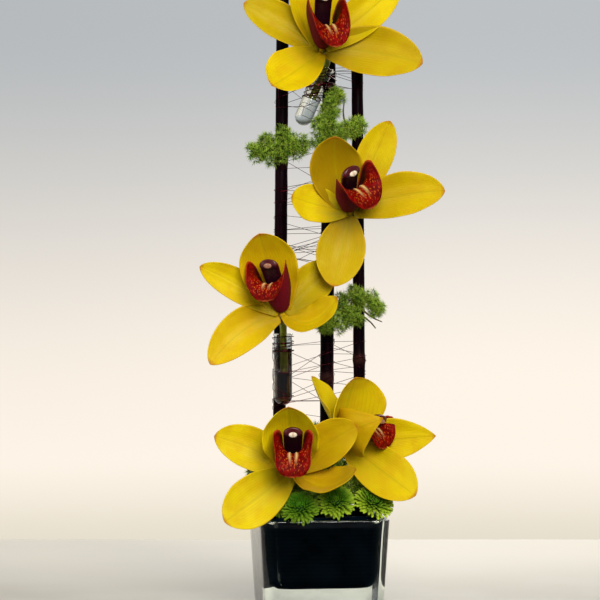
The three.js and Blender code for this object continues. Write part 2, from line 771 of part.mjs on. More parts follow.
// Each turn starts at the back, passes the left cane, crosses the front and comes back round.
function windingPoints(winding) {
  const start = THREE.MathUtils.degToRad(winding.startDegrees);
  return winding.bands.flatMap(([low, high, turns]) => {
    const pitch = (high - low) / turns;
    return Array.from({ length: turns * wire.samples + 1 }, (_, k) => {
      const turn = k / wire.samples;
      const within = turn % 1;
      const step = THREE.MathUtils.smoothstep(within, 0.4, 0.62);
      const climb = winding.rise * step + (1 - winding.rise) * within;
      const stray = winding.wander * Math.sin(Math.PI * within) * Math.sin(turn * 2.6);
      return wirePoint(start + 2 * Math.PI * within, low + pitch * (Math.floor(turn) + climb) + stray);
    });
  });
}

function windingSolid(winding, radius) {
  const points = windingPoints(winding);
  const rings = points.map((p, i) => {
    const next = points[Math.min(i + 1, points.length - 1)];
    const tangent = next.clone().sub(points[Math.max(i - 1, 0)]).normalize();
    const [side, up] = across(tangent, new THREE.Vector3(0, 0, 1));
    return ringAt(p, side, up, radius, wire.sides);
  });
  return loft(rings);
}

const wireSolid = (radius) => joined(windings.map((winding) => windingSolid(winding, radius)));

// The whole arrangement.

const nodes = {};

function add(name, solid, colour, roughness, metalness = 0) {
  const material = new THREE.MeshStandardMaterial({ color: colours[colour], roughness, metalness });
  nodes[name] = { solid, material };
}

const stalkHoles = {};
for (const [key, bloom] of Object.entries(blooms)) stalkHoles[key] = stalkSolid(bloom, restGap);
const caneHoles = Object.values(canes).map((cane) => caneSolid(cane, restGap));
const buttonHoles = buttons.map((button) => buttonStemSolid(button, restGap));
const foamHoles = [...caneHoles, ...buttonHoles, stalkHoles.rimLeft, stalkHoles.rimRight];

add("glass_vase", vaseSolid(), "glass", 0.05);
add("leaf_liner", linerSolid(), "leaf", 0.35);
add("floral_foam", foamSolid(foamHoles), "foam", 0.9);
for (const [key, cane] of Object.entries(canes)) add(`cane_${key}`, caneSolid(cane), "cane", 0.35);
for (const [key, v] of Object.entries(vials)) {
  add(`water_tube_${key}`, vialSolid(v), "glass", 0.05);
  add(`tube_water_${key}`, waterSolid(v, stalkHoles[key]), "water", 0.02);
}
for (const [key, bloom] of Object.entries(blooms)) {
  const stalk = largest(stalkSolid(bloom).subtract(tepalsSolid(bloom, restGap)), 0.25);
  add(`bloom_${key}_tepals`, tepalsSolid(bloom), "tepal", 0.45);
  add(`bloom_${key}_lip`, lipSolid(bloom), "lip", 0.4);
  add(`bloom_${key}_column`, columnSolid(bloom), "column", 0.35);
  add(`bloom_${key}_anther`, antherSolid(bloom), "anther", 0.4);
  add(`bloom_${key}_stalk`, stalk, "stalk", 0.5);
}
buttons.forEach((button, i) => add(`button_flower_${i + 1}`, buttonSolid(button, i), "button", 0.6));

// Room cut out of the fern for a tube, a cane, a stalk and a stem.
function tubeRoom(v) {
  const radius = vial.radius + vial.lip + fernGap;
  const length = vialLength(v);
  const room = latheSolid([[0, -1], [radius, -1], [radius, length], [0, length]], 8);
  return placeOnAxis(room, v.bottom, v.top);
}

const fernCutters = [
  ...Object.values(vials).map(tubeRoom),
  ...Object.values(canes).map((cane) => caneSolid(cane, fernGap)),
  ...Object.values(blooms).map((bloom) => stalkSolid(bloom, fernGap)),
  ...buttons.map((button) => buttonStemSolid(button, fernGap)),
];
for (const [key, fern] of Object.entries(ferns)) {
  add(`fern_${key}`, fernSolid(fern, fernCutters), "fern", 0.7);
}
add("wire_winding", wireSolid(wire.radius), "wire", 0.3, 0.9);

const arrangement = new THREE.Group();
for (const [name, { solid, material }] of Object.entries(nodes)) {
  const { numProp, vertProperties, triVerts } = solid.getMesh();
  const count = vertProperties.length / numProp;
  const position = new Float32Array(count * 3);
  for (let i = 0; i < count; i++) {
    const from = i * numProp;
    position.set(vertProperties.subarray(from, from + 3), i * 3);
  }
  const geometry = new THREE.BufferGeometry();
  geometry.setAttribute("position", new THREE.BufferAttribute(position, 3));
  geometry.setIndex(new THREE.BufferAttribute(triVerts, 1));
  geometry.computeVertexNormals();
  const mesh = new THREE.Mesh(geometry, material);
  mesh.name = name;
  arrangement.add(mesh);
}

export default arrangement;
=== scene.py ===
# Yellow cymbidium orchids tied to dark canes over a low square glass vase, with needle fern,
# button chrysanthemums and a wound wire. Sizes are in millimetres, and turned to metres where a mesh is
# made. The lights and the camera are in metres. The front of the arrangement faces -Y.
import math
import random

import bpy
from mathutils import Matrix, Vector, noise


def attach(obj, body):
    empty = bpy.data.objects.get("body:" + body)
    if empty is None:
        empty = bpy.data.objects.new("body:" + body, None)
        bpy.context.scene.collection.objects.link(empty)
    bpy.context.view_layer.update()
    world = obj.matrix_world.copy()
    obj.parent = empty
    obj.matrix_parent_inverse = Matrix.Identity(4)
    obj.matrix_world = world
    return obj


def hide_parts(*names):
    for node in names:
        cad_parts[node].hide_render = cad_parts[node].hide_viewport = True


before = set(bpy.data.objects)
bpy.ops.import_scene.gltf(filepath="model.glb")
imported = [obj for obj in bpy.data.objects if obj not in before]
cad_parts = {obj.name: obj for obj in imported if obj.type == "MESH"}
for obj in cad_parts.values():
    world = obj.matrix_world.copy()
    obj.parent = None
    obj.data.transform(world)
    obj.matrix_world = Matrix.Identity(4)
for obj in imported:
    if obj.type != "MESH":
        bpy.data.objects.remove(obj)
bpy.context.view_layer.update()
scene = bpy.context.scene
mm = 0.001
bandScale = 2 * math.pi / 20  # a wave texture of this scale has one band to each unit
print("frame loaded with", len(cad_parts), "nodes")


# Small tools

def linear(hexColour):  # an sRGB hex colour as linear red, green, blue and alpha
    channels = [int(hexColour[i:i + 2], 16) / 255 for i in (0, 2, 4)]
    return [c / 12.92 if c < 0.04045 else ((c + 0.055) / 1.055) ** 2.4 for c in channels] + [1]


def feed(tree, socket, value):  # links a socket to it, or sets a number or a hex colour on it
    if isinstance(value, bpy.types.NodeSocket):
        tree.links.new(value, socket)
    else:
        socket.default_value = linear(value) if socket.type == "RGBA" else value


def addNode(tree, kind, sockets=None, **settings):
    node = tree.nodes.new(kind)
    for name, value in settings.items():
        setattr(node, name, value)
    for key, value in (sockets or {}).items():
        feed(tree, node.inputs[key], value)
    return node


def ruleShare(tree, value, *limits):  # see layered
    if len(limits) == 1:
        return addNode(tree, "ShaderNodeMath", {0: value, 1: limits[0]}, operation="MULTIPLY").outputs[0]
    bounds = dict(enumerate((value, *limits)))
    return addNode(tree, "ShaderNodeMapRange", bounds, interpolation_type="SMOOTHSTEP").outputs[0]


def layered(tree, colour, *layers):
    # Lays colours over a first one. Each layer is its colour and the rules for how much of it shows, whose
    # shares multiply. A rule is a value and one factor, or a value, where it starts and ends to count,
    # and the shares at those two, which are 0 and 1 if left out.
    for over, *rules in layers:
        share, *others = [ruleShare(tree, *rule) for rule in rules]
        for other in others:
            share = addNode(tree, "ShaderNodeMath", {0: share, 1: other}, operation="MULTIPLY").outputs[0]
        colour = addNode(tree, "ShaderNodeMix", {0: share, 6: colour, 7: over}, data_type="RGBA").outputs[2]
    return colour


def newMaterial(name, **surface):  # a Principled material with constants set on its own sockets
    material = bpy.data.materials.new(name)
    material.use_nodes = True
    shader = material.node_tree.nodes["Principled BSDF"]
    for socket, value in surface.items():
        feed(material.node_tree, shader.inputs[socket.replace("_", " ")], value)
    return material, material.node_tree, shader


def cover(tree, shader, colour=None, roughness=None, relief=None):
    # Roughness is a rule as in layered. Relief is its strength, its depth in millimetres and its height.
    if colour:
        feed(tree, shader.inputs["Base Color"], colour)
    if roughness:
        feed(tree, shader.inputs["Roughness"], ruleShare(tree, *roughness))
    if relief:
        strength, depth, height = relief
        sockets = {"Strength": strength, "Distance": depth * mm, "Height": height}
        feed(tree, shader.inputs["Normal"], addNode(tree, "ShaderNodeBump", sockets).outputs[0])


def clamp(value, low=0.0, high=1.0):
    return max(low, min(high, value))


def smooth(value, low, high):
    t = clamp((value - low) / (high - low))
    return t * t * (3 - 2 * t)


def throughValues(values, t):  # a smooth curve through values at equal steps
    place = (len(values) - 1) * clamp(t)
    i = min(int(place), len(values) - 2)
    w = place - i
    a, b, c, d = (values[clamp(k, 0, len(values) - 1)] for k in (i - 1, i, i + 1, i + 2))
    return b + 0.5 * w * (c - a + w * (2 * a - 5 * b + 4 * c - d + w * (3 * (b - c) + d - a)))


def throughPoints(points, t):
    return Vector([throughValues([p[k] for p in points], t) for k in range(3)])


# Shapes are dictionaries of points, faces, a UV for each point, and named marks for each point.

def joinShapes(shapes):
    whole = {"points": [], "faces": [], "uvs": [], "marks": {}}
    for shape in shapes:
        first = len(whole["points"])
        whole["points"] += shape["points"]
        whole["faces"] += [[i + first for i in face] for face in shape["faces"]]
        whole["uvs"] += shape["uvs"]
        for name, values in shape["marks"].items():
            whole["marks"].setdefault(name, []).extend(values)
    return whole


def outward(shape):  # turns a closed shape's faces out
    volume = 0
    for face in shape["faces"]:
        a = shape["points"][face[0]]
        for b, c in zip(face[1:], face[2:]):
            volume += a.dot(shape["points"][b].cross(shape["points"][c]))
    if volume < 0:
        shape["faces"] = [face[::-1] for face in shape["faces"]]
    return shape


def loftShape(rings, marks=None):  # closed skin through rings of equal count, u round and v along
    count = len(rings[0])
    last = len(rings) - 1
    points = [p for ring in rings for p in ring]
    uvs = [(k / count, r / last) for r in range(len(rings)) for k in range(count)]
    faces = []
    for r in range(last):
        for k in range(count):
            a, b = r * count + k, r * count + (k + 1) % count
            faces.append([a, b, b + count, a + count])
    for r in (0, last):
        points.append(sum(rings[r], Vector()) / count)
        uvs.append((0.5, r / last))
        pole = len(points) - 1
        for k in range(count):
            a, b = r * count + k, r * count + (k + 1) % count
            faces.append([pole, b, a] if r == 0 else [pole, a, b])
    values = {name: [rule(u, v) for u, v in uvs] for name, rule in (marks or {}).items()}
    return outward({"points": points, "faces": faces, "uvs": uvs, "marks": values})


def ringOutline(centre, side, up, radiusAt, count):
    ring = []
    for k in range(count):
        angle = 2 * math.pi * k / count
        radius = radiusAt(angle)
        ring.append(centre + side * radius * math.cos(angle) + up * radius * math.sin(angle))
    return ring


def acrossOf(direction, hint=Vector((1, 0, 0))):
    side = (hint - direction * hint.dot(direction)).normalized()
    return side, direction.cross(side)


def tubeShape(pathAt, radiusAt, steps, sides, marks=None):  # radiusAt(t, angle)
    rings = []
    for i in range(steps + 1):
        t = i / steps
        direction = (pathAt(min(1, t + 0.01)) - pathAt(max(0, t - 0.01))).normalized()
        side, up = acrossOf(direction)
        rings.append(ringOutline(pathAt(t), side, up, lambda angle: radiusAt(t, angle), sides))
    return loftShape(rings, marks)


def bladeShape(pointAt, across, along, thicknessAt, marksAt, crowding=1.6):
    # A thin closed blade: u from -1 to 1 across and v from 0 to 1 along, with rows crowded at the tip.
    places = [
        [(2 * j / across - 1, 1 - (1 - i / along) ** crowding) for j in range(across + 1)]
        for i in range(along + 1)
    ]
    grid = [[pointAt(u, v) for u, v in row] for row in places]
    upper, lower = [], []
    for i in range(along + 1):
        for j in range(across + 1):
            side = grid[i][min(j + 1, across)] - grid[i][max(j - 1, 0)]
            forward = grid[min(i + 1, along)][j] - grid[max(i - 1, 0)][j]
            normal = side.cross(forward).normalized() * thicknessAt(*places[i][j]) / 2
            upper.append(grid[i][j] + normal)
            lower.append(grid[i][j] - normal)
    row = across + 1
    under = len(upper)
    faces = []
    for i in range(along):
        for j in range(across):
            a = i * row + j
            faces.append([a, a + 1, a + row + 1, a + row])
            faces.append([under + a, under + a + row, under + a + row + 1, under + a + 1])
    rim = list(range(across))
    rim += [i * row + across for i in range(along)]
    rim += [along * row + j for j in range(across, 0, -1)]
    rim += [i * row for i in range(along, 0, -1)]
    for a, b in zip(rim, rim[1:] + rim[:1]):
        faces.append([b, a, under + a, under + b])
    flat = [place for line in places for place in line]
    uvs = [((u + 1) / 2, v) for u, v in flat] * 2
    marks = {}
    for face in (1, 0):
        for u, v in flat:
            for name, value in marksAt(u, v, face).items():
                marks.setdefault(name, []).append(value)
    return {"points": upper + lower, "faces": faces, "uvs": uvs, "marks": marks}


def revolveShape(profile, sides, place, marks=None):  # profile of (radius, height) from axis to axis
    rings = []
    for radius, height in profile[1:-1]:
        rings.append(ringOutline(Vector((0, 0, height)), Vector((1, 0, 0)), Vector((0, 1, 0)),
                                 lambda angle: radius, sides))
    shape = loftShape(rings, marks)
    shape["points"][-2].z = profile[0][1]
    shape["points"][-1].z = profile[-1][1]
    shape["points"] = [place @ p for p in shape["points"]]
    return shape


def makeObject(name, shape, material):
    mesh = bpy.data.meshes.new(name)
    mesh.from_pydata([p * mm for p in shape["points"]], [], shape["faces"])
    mesh.polygons.foreach_set("use_smooth", [True] * len(mesh.polygons))
    if shape["faces"]:
        corners = [0] * len(mesh.loops)
        mesh.loops.foreach_get("vertex_index", corners)
        layer = mesh.uv_layers.new(name="UVMap")
        layer.data.foreach_set("uv", [x for i in corners for x in shape["uvs"][i]])
    for mark, values in shape["marks"].items():
        isVector = isinstance(values[0], Vector)
        layer = mesh.attributes.new(mark, "FLOAT_VECTOR" if isVector else "FLOAT", "POINT")
        flat = [x for value in values for x in value] if isVector else values
        layer.data.foreach_set("vector" if isVector else "value", flat)
    mesh.materials.append(material)
    piece = bpy.data.objects.new(name, mesh)
    scene.collection.objects.link(piece)
    return piece


def placePiece(piece, slotName, *nodes):
    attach(piece, "root")
    if nodes:
        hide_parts(*nodes)


# Geometry Nodes

def geometryTree(name, sizes):  # a tree with a geometry in and out and named inputs for its sizes
    tree = bpy.data.node_groups.new(name, "GeometryNodeTree")
    tree.interface.new_socket("Geometry", in_out="INPUT", socket_type="NodeSocketGeometry")
    tree.interface.new_socket("Geometry", in_out="OUTPUT", socket_type="NodeSocketGeometry")
    for label, kind in sizes.items():
        tree.interface.new_socket(label, in_out="INPUT", socket_type=kind)
    return tree, addNode(tree, "NodeGroupInput").outputs


def runTree(piece, tree, values):  # runs a tree on a piece and keeps the result as its plain mesh
    modifier = piece.modifiers.new(tree.name, "NODES")
    modifier.node_group = tree
    for item in tree.interface.items_tree:
        if item.item_type == "SOCKET" and item.name in values:
            modifier[item.identifier] = values[item.name]
    evaluated = piece.evaluated_get(bpy.context.evaluated_depsgraph_get())
    mesh = bpy.data.meshes.new_from_object(evaluated)
    piece.modifiers.clear()
    piece.data = mesh


def scatterTree():  # one copy of the blade on each point, pointing its own way
    kinds = {
        "Blade": "NodeSocketObject",
        "Core": "NodeSocketObject",
        "Material": "NodeSocketMaterial",
        "Spread": "NodeSocketFloat",
        "Twist": "NodeSocketFloat",
        "Seed": "NodeSocketInt",
    }
    tree, given = geometryTree("scatter blades", kinds)
    way = addNode(tree, "GeometryNodeInputNamedAttribute", {"Name": "way"}, data_type="FLOAT_VECTOR")
    lift = addNode(tree, "GeometryNodeInputNamedAttribute", {"Name": "lift"}, data_type="FLOAT_VECTOR")
    size = addNode(tree, "GeometryNodeInputNamedAttribute", {"Name": "size"}, data_type="FLOAT")
    least = addNode(tree, "ShaderNodeMath", {0: 1.0, 1: given["Spread"]}, operation="SUBTRACT")
    chance = {2: least.outputs[0], 3: 1.0, 8: given["Seed"]}
    vary = addNode(tree, "FunctionNodeRandomValue", chance, data_type="FLOAT").outputs[1]
    length = addNode(tree, "ShaderNodeMath", {0: size.outputs[0], 1: vary}, operation="MULTIPLY")
    aim = {"Primary Axis": way.outputs[0], "Secondary Axis": lift.outputs[0]}
    facing = addNode(tree, "FunctionNodeAxesToRotation", aim, primary_axis="Z", secondary_axis="X")
    back = addNode(tree, "ShaderNodeMath", {0: given["Twist"], 1: -1.0}, operation="MULTIPLY")
    turnRange = {2: back.outputs[0], 3: given["Twist"], 8: given["Seed"]}
    angle = addNode(tree, "FunctionNodeRandomValue", turnRange, data_type="FLOAT").outputs[1]
    turn = addNode(tree, "FunctionNodeAxisAngleToRotation", {"Axis": (0, 0, 1), "Angle": angle})
    pair = {"Rotation": facing.outputs[0], "Rotate By": turn.outputs[0]}
    turned = addNode(tree, "FunctionNodeRotateRotation", pair, rotation_space="LOCAL")
    blade = addNode(tree, "GeometryNodeObjectInfo", {"Object": given["Blade"]})
    copies = addNode(tree, "GeometryNodeInstanceOnPoints", {
        "Points": given["Geometry"],
        "Instance": blade.outputs["Geometry"],
        "Rotation": turned.outputs[0],
        "Scale": length.outputs[0],
    })
    real = addNode(tree, "GeometryNodeRealizeInstances", {"Geometry": copies.outputs[0]})
    coat = {"Geometry": real.outputs[0], "Material": given["Material"]}
    coated = addNode(tree, "GeometryNodeSetMaterial", coat)
    core = addNode(tree, "GeometryNodeObjectInfo", {"Object": given["Core"]})
    whole = addNode(tree, "GeometryNodeJoinGeometry", {"Geometry": coated.outputs[0]})
    tree.links.new(core.outputs["Geometry"], whole.inputs["Geometry"])
    addNode(tree, "NodeGroupOutput", {"Geometry": whole.outputs[0]})
    return tree


def strandTree():  # a round strand along each chain of edges
    kinds = {"Radius": "NodeSocketFloat", "Sides": "NodeSocketInt", "Material": "NodeSocketMaterial"}
    tree, given = geometryTree("wire strands", kinds)
    path = addNode(tree, "GeometryNodeMeshToCurve", {"Mesh": given["Geometry"]})
    ring = {"Resolution": given["Sides"], "Radius": given["Radius"]}
    profile = addNode(tree, "GeometryNodeCurvePrimitiveCircle", ring, mode="RADIUS")
    thick = addNode(tree, "GeometryNodeInputNamedAttribute", {"Name": "thick"}, data_type="FLOAT")
    sweep = {
        "Curve": path.outputs[0], "Profile Curve": profile.outputs[0], "Scale": thick.outputs[0],
        "Fill Caps": True,
    }
    strand = addNode(tree, "GeometryNodeCurveToMesh", sweep)
    rounded = addNode(tree, "GeometryNodeSetShadeSmooth", {"Geometry": strand.outputs[0]})
    real = addNode(tree, "GeometryNodeRealizeInstances", {"Geometry": rounded.outputs[0]})
    coat = {"Geometry": real.outputs[0], "Material": given["Material"]}
    done = addNode(tree, "GeometryNodeSetMaterial", coat)
    addNode(tree, "NodeGroupOutput", {"Geometry": done.outputs[0]})
    return tree


bladeScatter = scatterTree()
strandSweep = strandTree()


# Materials

def pressedGlass():
    # Pressed soda-lime glass: clear, faintly green where it is thick, with fire-polished ripples.
    glass, tree, shader = newMaterial(
        "pressedSodaLimeGlass", Base_Color="ecf4ec", Roughness=0.02, IOR=1.5, Transmission_Weight=1.0)
    place = addNode(tree, "ShaderNodeTexCoord").outputs["Object"]
    rippleWidth = 14
    ripples = addNode(tree, "ShaderNodeTexNoise", {
        "Vector": place, "Scale": 1 / (rippleWidth * mm), "Detail": 1.0}).outputs[0]
    cover(tree, shader, relief=(0.4, 0.6, ripples))
    return glass


def vialGlass():
    # Drawn borosilicate tube: thin, colourless and smooth, so only its edges and lip show.
    return newMaterial(
        "drawnTubeGlass", Base_Color="f8faf8", Roughness=0.01, IOR=1.47, Transmission_Weight=1.0)[0]


def tubeWater(name, tint):
    # Water: clear, it bends the light of the stem and cane behind it. A red-brown tint on the lower
    # tube's water is painted light: a cast that stands in for the cane's glow seen through the water.
    return newMaterial(name, Base_Color=tint, Roughness=0.0, IOR=1.33, Transmission_Weight=1.0)[0]


def linerLeaf():
    # Fresh leaf, near black: a satin cuticle over fine parallel veins, blue-green in the light.
    leaf, tree, shader = newMaterial("darkLeafSatin", IOR=1.4, Specular_IOR_Level=0.04)
    place = addNode(tree, "ShaderNodeTexCoord").outputs["Object"]
    veinSpacing, blotchWidth = 3, 22
    veins = addNode(tree, "ShaderNodeTexWave", {
        "Vector": place, "Scale": bandScale / (veinSpacing * mm), "Distortion": 1.5, "Detail": 1.0,
        "Detail Scale": 0.2}, wave_type="BANDS", bands_direction="Z").outputs["Fac"]
    blotches = addNode(tree, "ShaderNodeTexNoise", {
        "Vector": place, "Scale": 1 / (blotchWidth * mm), "Detail": 4.0}).outputs[0]
    colour = layered(tree, "010710", ("02101c", (blotches, 0.35, 0.7)), ("0d2023", (veins, 0.16)))
    cover(tree, shader, colour, roughness=(blotches, 0.3, 0.7, 0.26, 0.46))
    return leaf


def floralFoam():
    # Phenolic foam: matte green crumb with open cells, darker in each cell's hollow: painted shade.
    foam, tree, shader = newMaterial("wetFloralFoam", Roughness=0.9)
    place = addNode(tree, "ShaderNodeTexCoord").outputs["Object"]
    cellWidth = 0.9
    cells = addNode(tree, "ShaderNodeTexVoronoi", {
        "Vector": place, "Scale": 1 / (cellWidth * mm)}).outputs["Distance"]
    # darker in the cell hollows: painted shade
    cover(tree, shader, layered(tree, "1c3d1a", ("3f7238", (cells, 0.1, 0.7))), relief=(0.8, 0.3, cells))
    return foam


def caneBark():
    # Dogwood cane: near-black maroon bark with a waxy shine, fine lengthways grain and paler pores.
    bark, tree, shader = newMaterial("darkDogwoodBark", IOR=1.4, Specular_IOR_Level=0.03)
    place = addNode(tree, "ShaderNodeTexCoord").outputs["Object"]
    knot = addNode(tree, "ShaderNodeAttribute", attribute_name="knot").outputs["Fac"]
    grainWidth, grainLength, patchWidth, poreWidth = 0.8, 14, 26, 4
    stretch = addNode(tree, "ShaderNodeMapping", {"Vector": place, "Scale": (
        1 / (grainWidth * mm), 1 / (grainWidth * mm), 1 / (grainLength * mm))}).outputs[0]
    grain = addNode(tree, "ShaderNodeTexNoise", {"Vector": stretch, "Scale": 1.0, "Detail": 4.0}).outputs[0]
    patches = addNode(tree, "ShaderNodeTexNoise", {
        "Vector": place, "Scale": 1 / (patchWidth * mm), "Detail": 3.0}).outputs[0]
    pores = addNode(tree, "ShaderNodeTexVoronoi", {
        "Vector": place, "Scale": 1 / (poreWidth * mm)}).outputs["Distance"]
    colour = layered(
        tree, "040004",
        ("110207", (patches, 0.4, 0.68)),
        ("1c060e", (grain, 0.45, 0.75, 0.0, 0.6)),
        ("482622", (pores, 0.06, 0.12, 0.4, 0.0)),
        ("40241f", (knot, 0.5)))
    cover(tree, shader, colour, roughness=(grain, 0.3, 0.7, 0.3, 0.5), relief=(0.5, 0.25, grain))
    return bark


def bladeReads(tree):  # a blade's place, UV, distance from its midline and distance along
    coordinates = addNode(tree, "ShaderNodeTexCoord").outputs
    parts = addNode(tree, "ShaderNodeSeparateXYZ", {"Vector": coordinates["UV"]}).outputs
    centred = addNode(tree, "ShaderNodeMath", {0: parts[0], 1: 2.0, 2: -1.0}, operation="MULTIPLY_ADD")
    edge = addNode(tree, "ShaderNodeMath", {0: centred.outputs[0]}, operation="ABSOLUTE").outputs[0]
    return coordinates["Object"], coordinates["UV"], edge, parts[1]


def tepalWax():
    # Waxy petal flesh: light passes through its thin edges, fine veins run from claw to tip, and it
    # is greener at the midrib, with an orange-brown flush at the tip. It darkens to olive towards the
    # claw: its own green there, and painted shade in the throat of the flower.
    wax, tree, shader = newMaterial(
        "waxyYellowTepal", IOR=1.4, Specular_IOR_Level=0.16, Subsurface_Weight=0.2,
        Subsurface_Radius=(1.0, 0.85, 0.1), Subsurface_Scale=2.0 * mm)
    place, uv, edge, along = bladeReads(tree)
    shade = addNode(tree, "ShaderNodeAttribute", attribute_name="shade").outputs["Fac"]
    deep = addNode(tree, "ShaderNodeAttribute", attribute_name="deep").outputs["Fac"]
    tepalWidth, veinSpacing, blotchWidth = 34, 1.7, 11
    veins = addNode(tree, "ShaderNodeTexWave", {
        "Vector": uv, "Scale": bandScale * tepalWidth / veinSpacing, "Distortion": 1.6,
        "Detail": 2.0, "Detail Scale": 0.8}, wave_type="BANDS", bands_direction="X").outputs["Fac"]
    blotches = addNode(tree, "ShaderNodeTexNoise", {
        "Vector": place, "Scale": 1 / (blotchWidth * mm), "Detail": 3.0}).outputs[0]
    colour = layered(
        tree, "8e8402",
        # dark olive at the claw, brightening up to 0.7 along: its own green, and painted shade in the
        # throat
        ("dcc806", (along, 0.0, 0.7)),
        ("cda804", (blotches, 0.35, 0.75, 0.0, 0.6)),
        # orange tone: mostly the tepal's own flush, and on a dorsal in shade painted shade as well
        ("bf8404", (shade, 0.65)),
        # painted shade: darkens a whole tepal that lies in shade
        ("8c7402", (deep, 0.75)),
        ("a08a04", (veins, 0.62, 0.98, 0.0, 0.16)),
        ("a49a0a", (edge, 0.0, 0.08, 0.35, 0.0)),
        ("dfb010", (edge, 0.9, 1.0, 0.0, 0.25)),
        ("b06a12", (along, 0.95, 1.0, 0.0, 0.8)))
    cover(tree, shader, colour, roughness=(blotches, 0.3, 0.7, 0.46, 0.6), relief=(0.2, 0.2, veins))
    return wax


def lipFlesh():
    # The lip's velvety flesh: blood red, freckled yellow in rows that spread from the throat, with an
    # orange rim, two yellow keels and a dark plum throat.
    flesh, tree, shader = newMaterial(
        "freckledRedLip", Roughness=0.55, IOR=1.4, Specular_IOR_Level=0.08, Subsurface_Weight=0.08,
        Subsurface_Radius=(1.0, 0.3, 0.1), Subsurface_Scale=1.5 * mm)
    place, uv, edge, along = bladeReads(tree)
    inner = addNode(tree, "ShaderNodeAttribute", attribute_name="inner").outputs["Fac"]
    keel = addNode(tree, "ShaderNodeAttribute", attribute_name="keel").outputs["Fac"]
    lipWidth, lipLength, freckleWidth, freckleStretch, mottleWidth = 44, 52, 1.3, 1.7, 3.5
    stretched = addNode(tree, "ShaderNodeMapping", {"Vector": uv, "Scale": (
        lipWidth / freckleWidth, lipLength / freckleWidth / freckleStretch, 1.0)}).outputs[0]
    spots = addNode(tree, "ShaderNodeTexVoronoi", {"Vector": stretched, "Scale": 1.0}).outputs["Distance"]
    mottle = addNode(tree, "ShaderNodeTexNoise", {
        "Vector": place, "Scale": 1 / (mottleWidth * mm), "Detail": 3.0}).outputs[0]
    inside = layered(
        tree, "560200",
        ("820502", (mottle, 0.35, 0.7)),
        ("26030c", (along, 0.34, 0.56, 0.95, 0.0)),
        ("d2641e", (along, 0.42, 0.56), (along, 0.84, 0.97, 1.0, 0.0), (edge, 0.4, 0.82, 1.0, 0.0),
         (spots, 0.2, 0.42, 0.6, 0.0)),
        ("b8451c", (edge, 0.9, 1.0, 0.0, 0.75)),
        ("c4642e", (along, 0.955, 1.0, 0.0, 0.7)),
        ("e6c07a", (keel, 1.0)))
    outside = layered(tree, "5c0c1c", ("84120e", (along, 0.1, 0.8)))
    rough = addNode(tree, "ShaderNodeMath", {0: spots, 1: mottle}, operation="ADD").outputs[0]
    cover(tree, shader, layered(tree, outside, (inside, (inner, 1.0))), relief=(0.4, 0.3, rough))
    return flesh


def columnFlesh():
    # The column's waxy flesh: dark maroon with a shine. Underneath it is near black with maroon spots:
    # the spots are its own, the near black is painted shade under the column.
    flesh, tree, shader = newMaterial(
        "maroonColumn", Roughness=0.38, IOR=1.45, Coat_Weight=0.1, Coat_Roughness=0.3)
    place = addNode(tree, "ShaderNodeTexCoord").outputs["Object"]
    under = addNode(tree, "ShaderNodeAttribute", attribute_name="under").outputs["Fac"]
    along = addNode(tree, "ShaderNodeAttribute", attribute_name="along").outputs["Fac"]
    spotWidth = 1.6
    spots = addNode(tree, "ShaderNodeTexVoronoi", {
        "Vector": place, "Scale": 1 / (spotWidth * mm)}).outputs["Distance"]
    # near black underneath, painted shade, with its own maroon spots
    belly = layered(tree, "4a0a18", ("1c0210", (spots, 0.15, 0.35)))
    colour = layered(tree, "6e1a18", ("4a0a12", (along, 0.1, 1.0)), (belly, (under, 1.0)))
    cover(tree, shader, colour, relief=(0.2, 0.2, spots))
    return flesh


def antherCap():
    # Pollen cap: cream wax, browner in its groove. A cap deep in its hood is browned all over with
    # painted shade.
    cap, tree, shader = newMaterial(
        "creamAntherCap", Roughness=0.36, IOR=1.42, Subsurface_Weight=0.2,
        Subsurface_Radius=(1.0, 0.8, 0.5), Subsurface_Scale=1.0 * mm)
    groove = addNode(tree, "ShaderNodeAttribute", attribute_name="groove").outputs["Fac"]
    cover(tree, shader, layered(tree, "e6d6bd", ("9a6a50", (groove, 1.0))))
    return cap


def stalkSkin():
    # Flower stalk: smooth olive skin, ribbed, flushed brown-red towards the bloom.
    skin, tree, shader = newMaterial("oliveFlowerStalk", Roughness=0.45, IOR=1.42)
    place = addNode(tree, "ShaderNodeTexCoord").outputs["Object"]
    along = addNode(tree, "ShaderNodeAttribute", attribute_name="along").outputs["Fac"]
    blotchWidth = 5
    blotches = addNode(tree, "ShaderNodeTexNoise", {
        "Vector": place, "Scale": 1 / (blotchWidth * mm), "Detail": 3.0}).outputs[0]
    colour = layered(
        tree, "7c8c1c",
        ("a4ac34", (blotches, 0.35, 0.7)),
        ("6a2418", (along, 0.1, 0.5, 0.85, 0.0), (blotches, 0.2, 0.6)))
    cover(tree, shader, colour, relief=(0.25, 0.2, blotches))
    return skin


def leafyGreen(name, root, tip, paleAndLit):
    # Soft plant green: each blade is dark at its root and bright at its tip, and each differs a little.
    # The dark root is painted shade for the insides of the fern clumps and the button heads. On the
    # button flowers the pale colour also carries painted light, paler where the light falls.
    green, tree, shader = newMaterial(
        name, Roughness=0.6, IOR=1.4, Specular_IOR_Level=0.2, Subsurface_Weight=0.12,
        Subsurface_Radius=(0.4, 1.0, 0.1), Subsurface_Scale=0.8 * mm)
    along = addNode(tree, "ShaderNodeAttribute", attribute_name="along").outputs["Fac"]
    tint = addNode(tree, "ShaderNodeAttribute", attribute_name="tint").outputs["Fac"]
    # dark at the root: painted shade; the pale colour: its own tint, and painted light on the buttons
    cover(tree, shader, layered(
        tree, root, (tip, (along, 0.1, 0.95)), (paleAndLit, (tint, 1.0), (along, 0.15, 0.9, 0.0, 0.85))))
    return green


